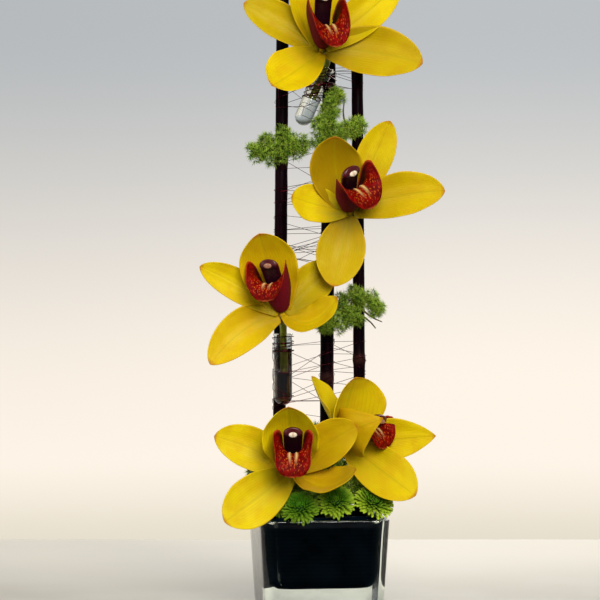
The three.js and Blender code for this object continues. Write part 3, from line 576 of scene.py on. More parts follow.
def twigBark():
    # Fern twig: thin dry brown bark.
    bark, tree, shader = newMaterial("brownFernTwig", Roughness=0.7)
    place = addNode(tree, "ShaderNodeTexCoord").outputs["Object"]
    speckWidth = 1.5
    specks = addNode(tree, "ShaderNodeTexNoise", {
        "Vector": place, "Scale": 1 / (speckWidth * mm), "Detail": 2.0}).outputs[0]
    cover(tree, shader, layered(tree, "33340e", ("5e5a22", (specks, 0.35, 0.65))))
    return bark


def lacqueredWire():
    # Lacquered aluminium wire: burgundy, with a bright line of light along each strand.
    wire, tree, shader = newMaterial("burgundyLacqueredWire", Metallic=1.0, Roughness=0.26)
    place = addNode(tree, "ShaderNodeTexCoord").outputs["Object"]
    wearWidth = 6
    wear = addNode(tree, "ShaderNodeTexNoise", {
        "Vector": place, "Scale": 1 / (wearWidth * mm), "Detail": 2.0}).outputs[0]
    cover(tree, shader, layered(tree, "3a0c16", ("6e2c34", (wear, 0.5, 0.75))))
    return wire


glass = pressedGlass()
tubeGlass = vialGlass()
water = tubeWater("clearWater", "f6f8f6")
# painted light: the lower tube's water is tinted red-brown for the cane's glow seen through it
paintedGlowWater = tubeWater("paintedGlowTintedWater", "ddcfcb")
leafSkin = linerLeaf()
foamCrumb = floralFoam()
bark = caneBark()
petalWax = tepalWax()
lipRed = lipFlesh()
columnMaroon = columnFlesh()
capCream = antherCap()
stalkGreen = stalkSkin()
buttonGreen = leafyGreen("greenButtonFloret", "0a2c03", "38740a", "b8ce34")
fernGreen = leafyGreen("limeFernNeedle", "153f05", "78aa18", "dcf062")
fernTwig = twigBark()
wireMetal = lacqueredWire()
print("materials made")


# Vase, liner and foam

vase = {
    "height": 75, "halfTop": 50, "halfFoot": 45.5, "cornerTop": 8, "cornerFoot": 7.5, "wall": 6.5,
    "floor": 22, "floorRound": 9, "floorDraw": 0.8, "cavityRounder": 3.5, "turnDegrees": 7, "rimRound": 1.2,
    "rimSquare": 0.5, "push": 1.2,
    "foot": ((32, 1.1), (20, 0.8), (9, 0), (3.2, 0), (1.6, 0.35), (0.5, 1.3), (0, 3)),  # inset and height
}
# The wet leaf clings to the glass: a gap below nothing lets it touch, so no air shows between them.
linerSheet = {
    "gap": -0.25, "thickness": 1.5, "above": 1.3, "wave": 0.9, "foldAt": 0.588, "foldDepth": 0.7,
    "foldWidth": 0.006,
}


def squareRing(half, corner, z, cornerSteps=9, sideSteps=8):  # round-cornered square, turned as the vase is
    turn = Matrix.Rotation(math.radians(vase["turnDegrees"]), 3, "Z")
    inset = half - corner
    ring = []
    for quarter in range(4):
        for k in range(cornerSteps + 1):
            angle = math.pi / 2 * (quarter + k / cornerSteps)
            x = inset * (1 if quarter in (0, 3) else -1) + corner * math.cos(angle)
            y = inset * (1 if quarter < 2 else -1) + corner * math.sin(angle)
            ring.append(Vector((x, y, z)))
        along = Vector((-math.sin(math.pi / 2 * (quarter + 1)), math.cos(math.pi / 2 * (quarter + 1)), 0))
        for k in range(1, sideSteps):
            ring.append(ring[-k] + along * (2 * inset * k / sideSteps))
    return [turn @ p for p in ring]


def outsideAt(z):
    share = z / vase["height"]
    half = vase["halfFoot"] + (vase["halfTop"] - vase["halfFoot"]) * share
    return half, vase["cornerFoot"] + (vase["cornerTop"] - vase["cornerFoot"]) * share


def cavityRing(z, gap=0.0, rise=0.0):
    half, corner = outsideAt(z)
    above = clamp((z - vase["floor"]) / vase["floorRound"])
    drawIn = vase["floorRound"] * (1 - math.sqrt(1 - (1 - above) ** 2))
    inside = half - vase["wall"] - drawIn * vase["floorDraw"] - gap
    return squareRing(inside, corner + vase["cavityRounder"], z + rise)


def makeVase():
    height, rimRound = vase["height"], vase["rimRound"]
    rings = []
    for inset, lift in vase["foot"]:
        half, corner = outsideAt(lift)
        rings.append(squareRing(half - inset, corner, lift))
    for z in range(8, int(height - 3), 5):
        rings.append(squareRing(*outsideAt(z), z))
    middle = vase["halfTop"] - vase["wall"] / 2
    for k in range(9):  # fire-polished rim
        angle = math.pi * k / 8
        swing = math.copysign(abs(math.cos(angle)) ** vase["rimSquare"], math.cos(angle))
        half = middle + (vase["wall"] / 2) * swing
        rings.append(squareRing(half, vase["cornerTop"] + (vase["halfTop"] - half) * 0.38,
                                height - rimRound + rimRound * math.sin(angle)))
    for z in range(int(height) - 6, int(vase["floor"] + vase["floorRound"]), -5):
        rings.append(cavityRing(z))
    for k in range(8, -1, -1):  # the cavity's rounded floor edge
        rings.append(cavityRing(vase["floor"] + vase["floorRound"] * (1 - math.cos(math.pi / 2 * k / 8))))
    shape = loftShape(rings)
    shape["points"][-2].z += vase["push"]  # pushed up a little under the foot
    placePiece(makeObject("glassVase", shape, glass), "glass", "glass_vase")


def makeLiner():
    gap, thick = linerSheet["gap"], linerSheet["thickness"]

    def foldOf(k, count):  # the leaf's end laps over itself
        return linerSheet["foldDepth"] * math.exp(
            -((k / count - linerSheet["foldAt"]) / linerSheet["foldWidth"]) ** 2)

    def wall(inset):
        rings = []
        floor, curve = vase["floor"], vase["floorRound"]
        heights = [floor + curve * (1 - math.cos(math.pi / 2 * k / 6)) for k in range(7)]
        heights += list(range(34, 74, 5))
        for z in heights:
            rings.append(cavityRing(z, inset, inset if z < floor + curve else 0))
        top = cavityRing(vase["height"] - 1, inset)
        count = len(top)
        for k, p in enumerate(top):
            s = 2 * math.pi * k / count
            p.z = vase["height"] + linerSheet["above"] + linerSheet["wave"] * (
                0.6 * math.sin(3 * s + 0.5) + 0.4 * math.sin(7 * s))
        rings.append(top)
        for ring in rings:
            middle = sum(ring, Vector()) / count
            for k, p in enumerate(ring):
                outwards = (p - middle).normalized()
                ring[k] = p - outwards * foldOf(k, count)
        return rings

    placePiece(makeObject("leafLiner", loftShape(wall(gap) + wall(gap + thick)[::-1]), leafSkin),
               "leaf", "leaf_liner")


makeVase()
makeLiner()
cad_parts["floral_foam"].data.materials.clear()
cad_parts["floral_foam"].data.materials.append(foamCrumb)
print("vase, liner and foam made")


# Canes

canes = {
    "left": {"foot": (-31, 1, 30), "head": (-27, 1, 530), "radius": 5.1, "knots": (118, 246, 352, 468)},
    "middle": {"foot": (6.2, 10, 30), "head": (9.8, 10, 545), "radius": 5.4, "knots": (92, 182, 330, 500)},
    "right": {"foot": (33.6, 2, 30), "head": (30.4, 2, 518), "radius": 4.7, "knots": (104, 197, 340, 446)},
}
caneForm = {"sides": 28, "step": 3.0, "shrink": 0.15, "bump": 0.28, "bumpLength": 16, "topWear": 0.05}
knotForm = {"swell": 0.55, "reach": 3.5}


def caneCentre(cane, z):
    t = (z - cane["foot"][2]) / (cane["head"][2] - cane["foot"][2])
    return Vector(cane["foot"]).lerp(Vector(cane["head"]), t)


def knotAt(cane, z):
    return max(math.exp(-((z - knot) / knotForm["reach"]) ** 2) for knot in cane["knots"])


def makeCane(key, cane):
    low, high = cane["foot"][2], cane["head"][2]
    count = int((high - low) / caneForm["step"])
    rings = []
    for i in range(count + 1):
        z = low + (high - low) * i / count
        middle = caneCentre(cane, z)
        knot = knotAt(cane, z)

        def radiusAt(angle):
            lift = z / caneForm["bumpLength"] + cane["radius"] * 9  # each cane has its own bumps
            bump = noise.noise(Vector((math.cos(angle) * 0.8, math.sin(angle) * 0.8, lift)))
            scar = knot * knotForm["swell"] * (1 + 0.5 * math.sin(angle * 2 + z / 3))
            worn = 1 - caneForm["topWear"] * (z > high - 1) - 0.02 * (z < low + 1)
            return (cane["radius"] - caneForm["shrink"] + caneForm["bump"] * bump + scar) * worn

        rings.append(ringOutline(middle, Vector((1, 0, 0)), Vector((0, 1, 0)), radiusAt, caneForm["sides"]))
    marks = {"knot": lambda u, v: knotAt(cane, low + (high - low) * v)}
    piece = makeObject(f"dogwoodCane_{key}", loftShape(rings, marks), bark)
    placePiece(piece, "cane", f"cane_{key}")


for key, cane in canes.items():
    makeCane(key, cane)
print("canes made")


# Water tubes

tubeForm = {"radius": 7, "lip": 0.8, "wall": 0.7, "waterDepth": 0.78, "wetting": 0.08, "sides": 48}
tubes = {
    "top": {"bottom": (-13.7, -4.4, 380), "top": (6, -3.6, 425)},
    "upper": {"bottom": (14.3, -4.6, 259), "top": (20.4, -4.2, 304)},
    "lower": {"bottom": (-27, -12.2, 161), "top": (-27.1, -12.3, 217), "water": paintedGlowWater},
}


def onAxis(tube):
    bottom, top = Vector(tube["bottom"]), Vector(tube["top"])
    turn = Vector((0, 0, 1)).rotation_difference(top - bottom).to_matrix().to_4x4()
    return Matrix.Translation(bottom) @ turn, (top - bottom).length


def roundEnd(radius, lift, steps=8):  # half circle from the axis to the wall
    quarter = [math.pi / 2 * k / steps for k in range(steps + 1)]
    return [(radius * math.sin(a), lift + radius * (1 - math.cos(a))) for a in quarter]


def makeTube(key, tube):
    place, length = onAxis(tube)
    r, lip, wall = tubeForm["radius"], tubeForm["lip"], tubeForm["wall"]
    outer = roundEnd(r, 0) + [(r, length * 0.5), (r, length - 2.2)]
    rim = [(r + lip * 0.75, length - 1.7), (r + lip, length - 0.9), (r + lip * 0.75, length - 0.25),
           (r, length), (r - wall + 0.25, length - 0.1), (r - wall, length - 0.6)]
    inner = [(r - wall, length * 0.5)] + roundEnd(r - wall, wall)[::-1]
    shell = revolveShape(outer + rim + inner, tubeForm["sides"], place)
    placePiece(makeObject(f"waterTube_{key}", shell, tubeGlass), "glass", f"water_tube_{key}")
    wet = r - wall + tubeForm["wetting"]  # the water meets the wall, so no air shows between them
    surface = length * tubeForm["waterDepth"]
    body = roundEnd(wet, wall - tubeForm["wetting"])
    body += [(wet, surface * 0.6), (wet, surface + 0.8), (wet - 0.7, surface + 0.25),
             (wet - 2, surface), (0, surface)]
    fill = revolveShape(body, tubeForm["sides"], place)
    liquid = tube.get("water", water)
    placePiece(makeObject(f"tubeWater_{key}", fill, liquid), "water", f"tube_water_{key}")


for key, tube in tubes.items():
    makeTube(key, tube)
print("water tubes made")


# Blooms. Each tepal's tip is measured from the bloom's heart. arch bows its middle back, cup brings its
# edges forward, face is where its inner side looks, and draw pulls its middle aside. end is how it
# narrows to its tip: a higher first number keeps it broad for longer, a lower second one makes it blunter.
# The warm value turns its yellow towards orange: mostly the tepal's own flush, and on a dorsal that
# lies in shade painted shade as well. The painted shade value is painted shade: it darkens a tepal
# that lies in shade. turn, tilt and roll aim the bloom, in degrees.
# lift and sway slant its lip up and aside, and columnLift and columnSway its column. opened goes from a
# narrow lip, 0, to an open one, 1. ears are how tall its left and right lobes stand, seen from the front.

tepalForm = {
    "across": 28, "along": 40, "thick": 0.95, "thinEdge": 0.45, "ruffle": 0.75, "ruffles": 2.4,
    "rib": 0.55, "crease": 0.25, "heart": 3.0, "end": (2.2, 0.63), "broadest": 0.52, "narrowing": 0.68,
    "claw": 2.2, "bendAt": 0.52, "petalForward": 0.7, "sepalForward": -0.9,
}
straight = (0, -1, 0)
blooms = {
    "top": {
        "heart": (3, -34, 435.5), "turn": 24, "tilt": 14, "roll": 8, "lift": 0.22, "sway": 0.15,
        "columnLift": 0.37, "columnSway": 0.2, "opened": 0.1, "ears": (1.3, 1.15),
        "tepals": {
            "dorsal": {
                "tip": (-8, -24, 62), "warmthAndShade": 0.3, "width": 41, "arch": 19, "cup": 0.2, "face": straight,
                "broadest": 0.66},
            "petalLeft": {
                "tip": (-60, -4, 35), "deep": 0.65, "width": 29, "arch": 7, "cup": 0.2,
                "face": (0.1, -1, 0.1), "draw": (0, 0, 5)},
            "petalRight": {"tip": (60, -6, 50), "width": 31, "arch": 8, "cup": 0.2, "face": straight},
            "sepalLeft": {
                "tip": (-38, -34, -31), "width": 39, "arch": 9, "cup": 0.22, "face": (0.1, -1, 0.5),
                "broadest": 0.64},
            "sepalRight": {
                "tip": (76.5, -12, -12), "deep": 0.6, "warmthAndShade": 0.3, "width": 40, "arch": 11, "cup": 0.2,
                "face": (0, -1, 0.12), "draw": (0, 0, 9)},
        },
        "stalk": ((3.6, -26, 434), (6.3, -15.6, 433), (6.7, -6, 427), (-4.7, -4.4, 400)),
    },
    "upper": {
        "heart": (24.6, -34, 310.5), "turn": 26, "tilt": 14, "roll": 28, "lift": 0.32, "sway": 0.03,
        "columnLift": 0.24, "columnSway": 0.12, "opened": 0.15, "ears": (0.72, 0.88),
        "lipSize": (1.12, 1, 1),
        "tepals": {
            "dorsal": {
                "tip": (-12, -27, 56), "deep": 0.85, "warmthAndShade": 0.9, "width": 42, "arch": 22, "cup": 0.2,
                "face": (0.05, -1, 0), "broadest": 0.64, "draw": (-7, 0, 0)},
            "petalLeft": {
                "tip": (-45, -18, 11), "width": 29, "arch": 10, "cup": 0.08, "face": (0, -1, 0.2),
                "broadest": 0.66},
            "petalRight": {
                "tip": (30.5, -6, 69.5), "deep": 0.3, "width": 29, "arch": 10, "cup": 0.14,
                "face": straight, "broadest": 0.6},
            "sepalLeft": {
                "tip": (-13.5, -14, -57), "deep": 0.55, "warmthAndShade": 0.45, "width": 38, "arch": 9,
                "cup": 0.16, "face": (0, -1, 0.1)},
            "sepalRight": {
                "tip": (72, -12, 15.5), "deep": 0.3, "warmthAndShade": 0.3, "width": 35, "arch": 9, "cup": 0.2,
                "face": (0, -1, 0.15), "draw": (0, 0, 10)},
        },
        "stalk": ((23.2, -25, 309), (21.6, -14, 309), (20.2, -5, 303), (17.6, -4.4, 281)),
    },
    "lower": {
        "heart": (-27.5, -35, 232), "turn": -20, "tilt": 16, "roll": 2, "lift": 0.52, "sway": 0.09,
        "columnLift": 0.45, "columnSway": 0.03, "opened": 0.2, "ears": (1.1, 1.05),
        "lipSize": (1.02, 0.87, 0.94), "capPaintedShade": 1.0,
        "tepals": {
            "dorsal": {
                "tip": (-17.2, -28, 61), "warmthAndShade": 0.5, "width": 45, "arch": 22, "cup": 0.18,
                "face": straight, "broadest": 0.66},
            "petalLeft": {
                "tip": (-62.7, -13, 36.5), "width": 25, "arch": 7, "cup": 0.2, "face": (0.1, -1, -0.1),
                "draw": (0, 0, 5)},
            "petalRight": {
                "tip": (39.3, 4, 40), "deep": 0.6, "width": 31, "arch": 3, "cup": 0.2,
                "face": (-0.1, -1, 0)},
            "sepalLeft": {
                "tip": (-54.7, -15, -38), "warmthAndShade": 0.35, "width": 33, "arch": 8, "cup": 0.2,
                "face": (0.1, -1, 0.2), "draw": (0, 0, 18)},
            "sepalRight": {
                "tip": (41.8, -27, 13), "warmthAndShade": 0.35, "width": 29, "arch": 7, "cup": 0.2,
                "face": (-0.2, -0.85, 0.75), "broadest": 0.62, "draw": (0, 0, -20)},
        },
        "stalk": ((-28.4, -26, 228), (-27, -17.5, 224), (-26.8, -12.7, 214), (-26.4, -12.7, 187)),
    },
    "rimLeft": {
        "heart": (-19.2, -38, 111.5), "turn": 0, "tilt": 14, "roll": 0, "lift": 0.2, "sway": 0,
        "columnLift": 0.2, "opened": 1.0,
        "tepals": {
            "dorsal": {
                "tip": (-3.5, -34, 51), "width": 45, "arch": 19, "cup": 0.34, "face": straight,
                "broadest": 0.68},
            "petalLeft": {
                "tip": (-60, -9, 27.5), "width": 33, "arch": 7, "cup": 0.18, "face": (0.1, -1, 0.1),
                "draw": (0, 0, 7)},
            "petalRight": {
                "tip": (49, -25, 36), "deep": 0.25, "warmthAndShade": 0.5, "width": 33, "arch": 6, "cup": 0.18,
                "face": (-0.1, -1, 0.1), "draw": (0, 0, 7)},
            "sepalLeft": {
                "tip": (-51.5, -27, -36), "width": 39, "arch": 3, "cup": 0.14, "face": (0.05, -1, 0.1),
                "broadest": 0.6},
            "sepalRight": {
                "tip": (47.5, -34, 4), "deep": 0.35, "warmthAndShade": 0.8, "width": 32, "arch": 10, "cup": 0.2,
                "face": (-0.1, -0.6, 0.85), "broadest": 0.62, "draw": (0, 0, -16)},
        },
        "stalk": ((-18, -28, 107), (-15.7, -17, 99), (-13.7, -10.5, 82), (-13.7, -10, 42)),
    },
    "rimRight": {
        "heart": (20.8, -20, 132.5), "turn": 46, "tilt": 18, "roll": 0, "lift": 0.06, "sway": -0.25,
        "columnLift": -0.18, "opened": 0.3, "ears": (0.5, 0.5), "lipSize": (1, 0.92, 0.92), "capPaintedShade": 1.0,
        "tepals": {
            "dorsal": {
                "tip": (8, -17, 51), "width": 56, "arch": 14, "cup": 0.3, "face": (0.85, -1, 0),
                "draw": (3, 0, 0), "end": (2.6, 0.62), "broadest": 0.6},
            "petalLeft": {
                "tip": (-25.5, -5, 51.5), "deep": 0.35, "width": 27, "arch": 2, "cup": 0.25,
                "face": (0.9, -0.42, 0.35)},
            "petalRight": {
                "tip": (69.5, -13, 6), "width": 33, "arch": 9, "cup": 0.18, "face": (0.1, -1, 0.12),
                "end": (1.7, 0.8)},
            "sepalLeft": {
                "tip": (28, -42, 21), "deep": 0.2, "warmthAndShade": 0.8, "width": 42, "arch": 26, "cup": 0.14,
                "face": (0.8, 0.5, 0.25), "draw": (-3, 0, 4), "broadest": 0.42, "end": (1.4, 0.88)},
            "sepalRight": {
                "tip": (53, -34, -38), "warmthAndShade": 0.3, "width": 37, "arch": 5, "cup": 0.14,
                "face": (0.1, -1, 0.1), "broadest": 0.6},
        },
        "stalk": ((16, -13.6, 127), (11, -12, 119), (8.3, -10.5, 96), (8.8, -9.5, 42)),
    },
}
# Each row runs from the lip's base to its front edge. An open lip shows its ears from the front, and a
# narrow one its outer walls from the side.
lipForm = {
    "forward": (4, 10, 16, 21.5, 26.5, 30.5, 33.4, 34.6, 33),
    "up": (-1.5, -2.5, -1.5, 1.5, 3.5, 0.5, -5, -11.5, -17),
    "openWidth": (4.8, 6.2, 7.6, 8.8, 11.8, 14.9, 13.4, 13.4, 12.4),
    "narrowWidth": (7.5, 10.8, 12.4, 13.1, 14.2, 15.4, 15.4, 14.4, 12.2),
    "openRise": (4.5, 8, 13, 17.6, 16.2, 14.6, 6, 2.5, 0.8),
    "narrowRise": (9, 18.5, 20.5, 18.5, 16, 15.5, 13, 8, 1),
    "openLean": (0, 0.5, 2.5, 5.5, 7, 4.5, 3, 2, 0),
    "narrowLean": (0, 0.5, 2.5, 4.5, 6, 5.5, 4, 2, 0),
    "across": 48, "along": 64, "thickness": 0.9, "keel": 0.8, "keelPlace": 0.12, "keelWidth": 0.034,
    "frill": 0.35, "frills": 9, "roundFrom": 0.8,
}
columnForm = {
    "forward": (5.4, 15, 26, 34, 37.6), "up": (3, 9.5, 14.5, 16.5, 15), "halfWidth": 7.0, "halfDepth": 4.2,
    "steps": 22, "sides": 28, "capRadius": 2.9, "capLength": 2.0, "capDrop": 0.9, "cleftWidth": 0.55,
    "cleftDepth": 0.55, "capShape": (1.1, 0.66, 1, 1),
}
stalkForm = {"radius": 2.7, "ribs": 6, "ribDepth": 0.14, "steps": 60, "sides": 24}


def lookingWay(bloom):
    turn, tilt = math.radians(bloom["turn"]), math.radians(bloom["tilt"])
    return Vector((math.sin(turn) * math.cos(tilt), -math.cos(turn) * math.cos(tilt), math.sin(tilt)))


def bloomFrame(bloom, lift, sway):
    forward = lookingWay(bloom)
    roll = math.radians(bloom["roll"])
    up = Vector((-math.sin(roll), 0, math.cos(roll)))
    up = (up - forward * up.dot(forward)).normalized()
    side = up.cross(forward)
    forward = forward + up * lift - side * sway
    axes = Matrix((side, up, forward)).transposed().to_4x4()
    size = Matrix.Diagonal((*bloom.get("lipSize", (1, 1, 1)), 1))
    return Matrix.Translation(Vector(bloom["heart"])) @ axes @ size


def tepalWidth(v, tepal):  # share of the full width at each place along
    broadest = tepal.get("broadest", tepalForm["broadest"])
    bulge, blunt = tepal.get("end", tepalForm["end"])
    if v < broadest:
        return 1 - tepalForm["narrowing"] * (1 - v / broadest) ** 2
    return max(0.04, (1 - ((v - broadest) / (1 - broadest)) ** bulge) ** blunt)


def tepalShape(bloom, name, tepal, chance):
    form = tepalForm
    face = Vector(tepal["face"]).normalized()
    tip = Vector(tepal["tip"])
    whorl = form["petalForward"] if name.startswith("petal") else form["sepalForward"]
    base = tip.normalized() * form["claw"] + lookingWay(bloom) * whorl
    bend = tip * form["bendAt"] - face * tepal["arch"] + Vector(tepal.get("draw", (0, 0, 0)))
    heart = Vector(bloom["heart"])
    half = tepal["width"] / 2
    phase, tone = chance.random(), tepal.get("warmthAndShade", 0.1) + 0.2 * chance.random()
    ruffles = form["ruffles"] * (0.8 + 0.5 * chance.random())

    def pointAt(u, v):
        spine = base * (1 - v) ** 2 + bend * 2 * v * (1 - v) + tip * v * v
        tangent = ((bend - base) * (1 - v) + (tip - bend) * v).normalized()
        normal = (face - tangent * face.dot(tangent)).normalized()
        side = tangent.cross(normal)
        edge = abs(u)
        reach = half * tepalWidth(v, tepal)
        cup = tepal["cup"] * 2 * reach * u * u * math.sin(math.pi * (0.15 + 0.75 * v))
        wave = math.sin(2 * math.pi * (ruffles * v + phase + (0.31 if u > 0 else 0)))
        ruffle = form["ruffle"] * edge ** 3 * wave * smooth(v, 0.1, 0.4) * smooth(1 - v, 0, 0.12)
        rib = -form["rib"] * math.exp(-(u / 0.08) ** 2) * (1 - 0.6 * v)
        crease = form["crease"] * math.cos(3 * math.pi * u + 2 * phase) * math.sin(math.pi * v)
        across = reach * u * (1 - 0.12 * edge * tepal["cup"])
        return heart + spine + side * across + normal * (cup + ruffle + rib + crease)

    def thicknessAt(u, v):
        return form["thinEdge"] + (form["thick"] - form["thinEdge"]) * (1 - u * u) * (1 - 0.5 * v)

    return bladeShape(pointAt, form["across"], form["along"], thicknessAt,
                      lambda u, v, face: {"shade": tone, "deep": tepal.get("deep", 0)})


def ballShape(centre, radius, place=None, sides=16, marks=None):
    angles = [math.pi * k / 10 for k in range(1, 10)]
    profile = [(0, -radius), *((radius * math.sin(a), -radius * math.cos(a)) for a in angles), (0, radius)]
    return revolveShape(profile, sides, place or Matrix.Translation(centre), marks)


def makeTepals(key, bloom):
    chance = random.Random(f"tepals {key}")
    parts = [tepalShape(bloom, name, tepal, chance) for name, tepal in bloom["tepals"].items()]
    middle = Vector(bloom["heart"]) - lookingWay(bloom) * 1.5
    # the heart sits deep in the bloom: it takes painted shade and the fullest orange
    heartMarks = {"shade": lambda u, v: 1.0, "deep": lambda u, v: 0.5}
    parts.append(ballShape(middle, tepalForm["heart"], marks=heartMarks))
    placePiece(makeObject(f"bloom{key}Tepals", joinShapes(parts), petalWax), "tepal", f"bloom_{key}_tepals")


def keelAt(u, v):
    along = smooth(v, 0.12, 0.25) * (1 - smooth(v, 0.62, 0.84))
    middle = lipForm["keelPlace"] * (1.5 - 0.8 * v)
    return along * math.exp(-((abs(u) - middle) / lipForm["keelWidth"]) ** 2)


def makeLip(key, bloom):
    place = bloomFrame(bloom, bloom["lift"], bloom["sway"])
    opened, ears = bloom["opened"], bloom.get("ears", (1, 1))
    chance = random.Random(f"lip {key}")
    phase = chance.random() * 6

    def rowAt(name, v):  # between the narrow lip's row and the open one's
        narrow, wide = (throughValues(lipForm[kind + name], v) for kind in ("narrow", "open"))
        return narrow + (wide - narrow) * opened

    def pointAt(u, v):
        angle = math.pi / 2 * u
        height = 1 - math.cos(angle)
        edge = abs(u)
        beyond = clamp((v - lipForm["roundFrom"]) / (1 - lipForm["roundFrom"]))
        width, rise, lean = (rowAt(name, v) for name in ("Width", "Rise", "Lean"))
        lobe = (1 - smooth(v, 0.55, 0.8)) * smooth(edge, 0, 0.5)
        rise *= 1 + (ears[1 if u > 0 else 0] - 1) * lobe
        width *= max(0.004, 1 - beyond ** 2.6) ** 0.5
        x = width * math.sin(angle)
        z = throughValues(lipForm["up"], v) + rise * height
        y = throughValues(lipForm["forward"], v) + lean * height
        apron = smooth(v, 0.6, 0.75)
        frill = lipForm["frill"] * edge ** 3 * apron * math.sin(lipForm["frills"] * v * math.pi + phase)
        frill += lipForm["frill"] * 0.5 * smooth(v, 0.9, 1) * math.sin(lipForm["frills"] * x / 6 + phase)
        z += lipForm["keel"] * keelAt(u, v) + frill * 0.5
        y += frill
        return place @ Vector((x, z, y))

    def thicknessAt(u, v):
        return lipForm["thickness"] * (1 - 0.5 * abs(u) ** 4)

    def marksAt(u, v, face):
        return {"inner": 1.0 - face, "keel": keelAt(u, v)}

    shape = bladeShape(pointAt, lipForm["across"], lipForm["along"], thicknessAt, marksAt, 1.2)
    placePiece(makeObject(f"bloom{key}Lip", shape, lipRed), "lip", f"bloom_{key}_lip")


def makeColumn(key, bloom):
    place = bloomFrame(bloom, bloom["columnLift"], bloom.get("columnSway", bloom["sway"]))
    line = [Vector((0, up, forward)) for up, forward in zip(columnForm["up"], columnForm["forward"])]
    rings = []
    steps, sides = columnForm["steps"], columnForm["sides"]
    for i in range(steps + 1):
        t = i / steps
        before, after = throughPoints(line, max(0, t - 0.02)), throughPoints(line, min(1, t + 0.02))
        tangent = (after - before).normalized()
        above = Vector((0, tangent.z, -tangent.y))
        swell = 0.8 + 0.25 * math.sin(math.pi / 2 * min(1, t / 0.8))
        swell *= 1 - 0.22 * smooth(t, 0.8, 1) ** 2
        middle = throughPoints(line, t)
        ring = []
        for k in range(sides):
            angle = 2 * math.pi * k / sides
            hollow = 1 - 0.3 * max(0, -math.sin(angle)) ** 2  # the underside is flat
            across = Vector((1, 0, 0)) * columnForm["halfWidth"] * swell * math.cos(angle)
            ring.append(place @ (middle + across
                                 + above * columnForm["halfDepth"] * swell * math.sin(angle) * hollow))
        rings.append(ring)
    marks = {"under": lambda u, v: clamp(-math.sin(2 * math.pi * u) * 2), "along": lambda u, v: v}
    placePiece(makeObject(f"bloom{key}Column", loftShape(rings, marks), columnMaroon),
               "column", f"bloom_{key}_column")

    tangent = (line[-1] - line[-2]).normalized()
    turn = Matrix.Rotation(-math.atan2(tangent.y, tangent.z), 4, "X")
    hang = Vector((0, tangent.z, -tangent.y)) * columnForm["capDrop"]
    capPlace = place @ Matrix.Translation(line[-1] - hang) @ turn
    radius, length = columnForm["capRadius"], columnForm["capLength"]
    profile = [(0, -0.8)]
    for k in range(1, 12):
        angle = math.pi * k / 12
        profile.append((radius * math.sin(angle) ** 0.8, length * (0.36 - 0.64 * math.cos(angle))))
    profile.append((0, length))
    cap = revolveShape(profile, 32, Matrix.Identity(4))
    marks = []
    for p in cap["points"]:  # a cleft down the middle parts it in two lobes
        cleft = math.exp(-(p.x / columnForm["cleftWidth"]) ** 2)
        p.z -= cleft * columnForm["cleftDepth"] * smooth(p.z, 0, length)
        # a cap deep in its hood is browned all over: painted shade
        marks.append(max(bloom.get("capPaintedShade", 0), 0.7 * cleft * smooth(p.z, 0, length)))
    cap["marks"] = {"groove": marks}
    squat = capPlace @ Matrix.Diagonal(columnForm["capShape"])
    cap["points"] = [squat @ p for p in cap["points"]]
    placePiece(makeObject(f"bloom{key}Anther", cap, capCream), "anther", f"bloom_{key}_anther")


def makeStalk(key, bloom):
    line = [Vector(bloom["heart"])] + [Vector(p) for p in bloom["stalk"]]

    def radiusAt(t, angle):
        rib = stalkForm["ribDepth"] * math.cos(stalkForm["ribs"] * angle + 2 * t)
        return stalkForm["radius"] * (1.2 - 0.35 * t) + rib

    shape = tubeShape(lambda t: throughPoints(line, t), radiusAt, stalkForm["steps"], stalkForm["sides"],
                      {"along": lambda u, v: v})
    placePiece(makeObject(f"bloom{key}Stalk", shape, stalkGreen), "stalk", f"bloom_{key}_stalk")


for key, bloom in blooms.items():
    makeTepals(key, bloom)
    makeLip(key, bloom)
    makeColumn(key, bloom)
    makeStalk(key, bloom)
print("blooms made")


# Button chrysanthemums

# Each front button's pale value is painted light: paler to the right, where the light falls, and darker to
# the left.
buttons = [
    {"at": (-34, -33, 86), "faces": (-0.3, -0.6, 0.74), "radius": 12, "paleAndLit": 0.35},
    {"at": (-14, -44.6, 85.6), "faces": (-0.05, -0.74, 0.67), "radius": 14, "paleAndLit": 0.42},
    {"at": (13.6, -42, 90), "faces": (0.05, -0.76, 0.65), "radius": 14, "paleAndLit": 0.8},
    {"at": (43, -37, 89), "faces": (0.25, -0.62, 0.75), "radius": 14.6, "paleAndLit": 1.0},
    {"at": (46, -9.4, 88.6), "faces": (0.5, -0.1, 0.86), "radius": 11.4},
    {"at": (41, 21, 88), "faces": (0.5, 0.4, 0.78), "radius": 13},
    {"at": (15, 42, 87.5), "faces": (0.05, 0.62, 0.78), "radius": 13.6},
    {"at": (-14, 41, 87), "faces": (-0.1, 0.6, 0.8), "radius": 13.2},
    {"at": (-42, 21, 88), "faces": (-0.5, 0.3, 0.82), "radius": 13},
    {"at": (-43, -8, 88), "faces": (-0.5, -0.1, 0.86), "radius": 12.6},
]
goldenAngle = 137.508  # the turn from each floret to the next
floretForm = {
    "count": 260, "width": 0.23, "hollow": 0.09, "curl": 0.2, "core": 0.46, "rise": 0.14,
    "shortest": 0.24, "longest": 0.7, "steepest": 86, "lowest": -30, "spread": 0.14, "twist": 0.3,
    "stem": 1.5, "thickness": 0.035,
}


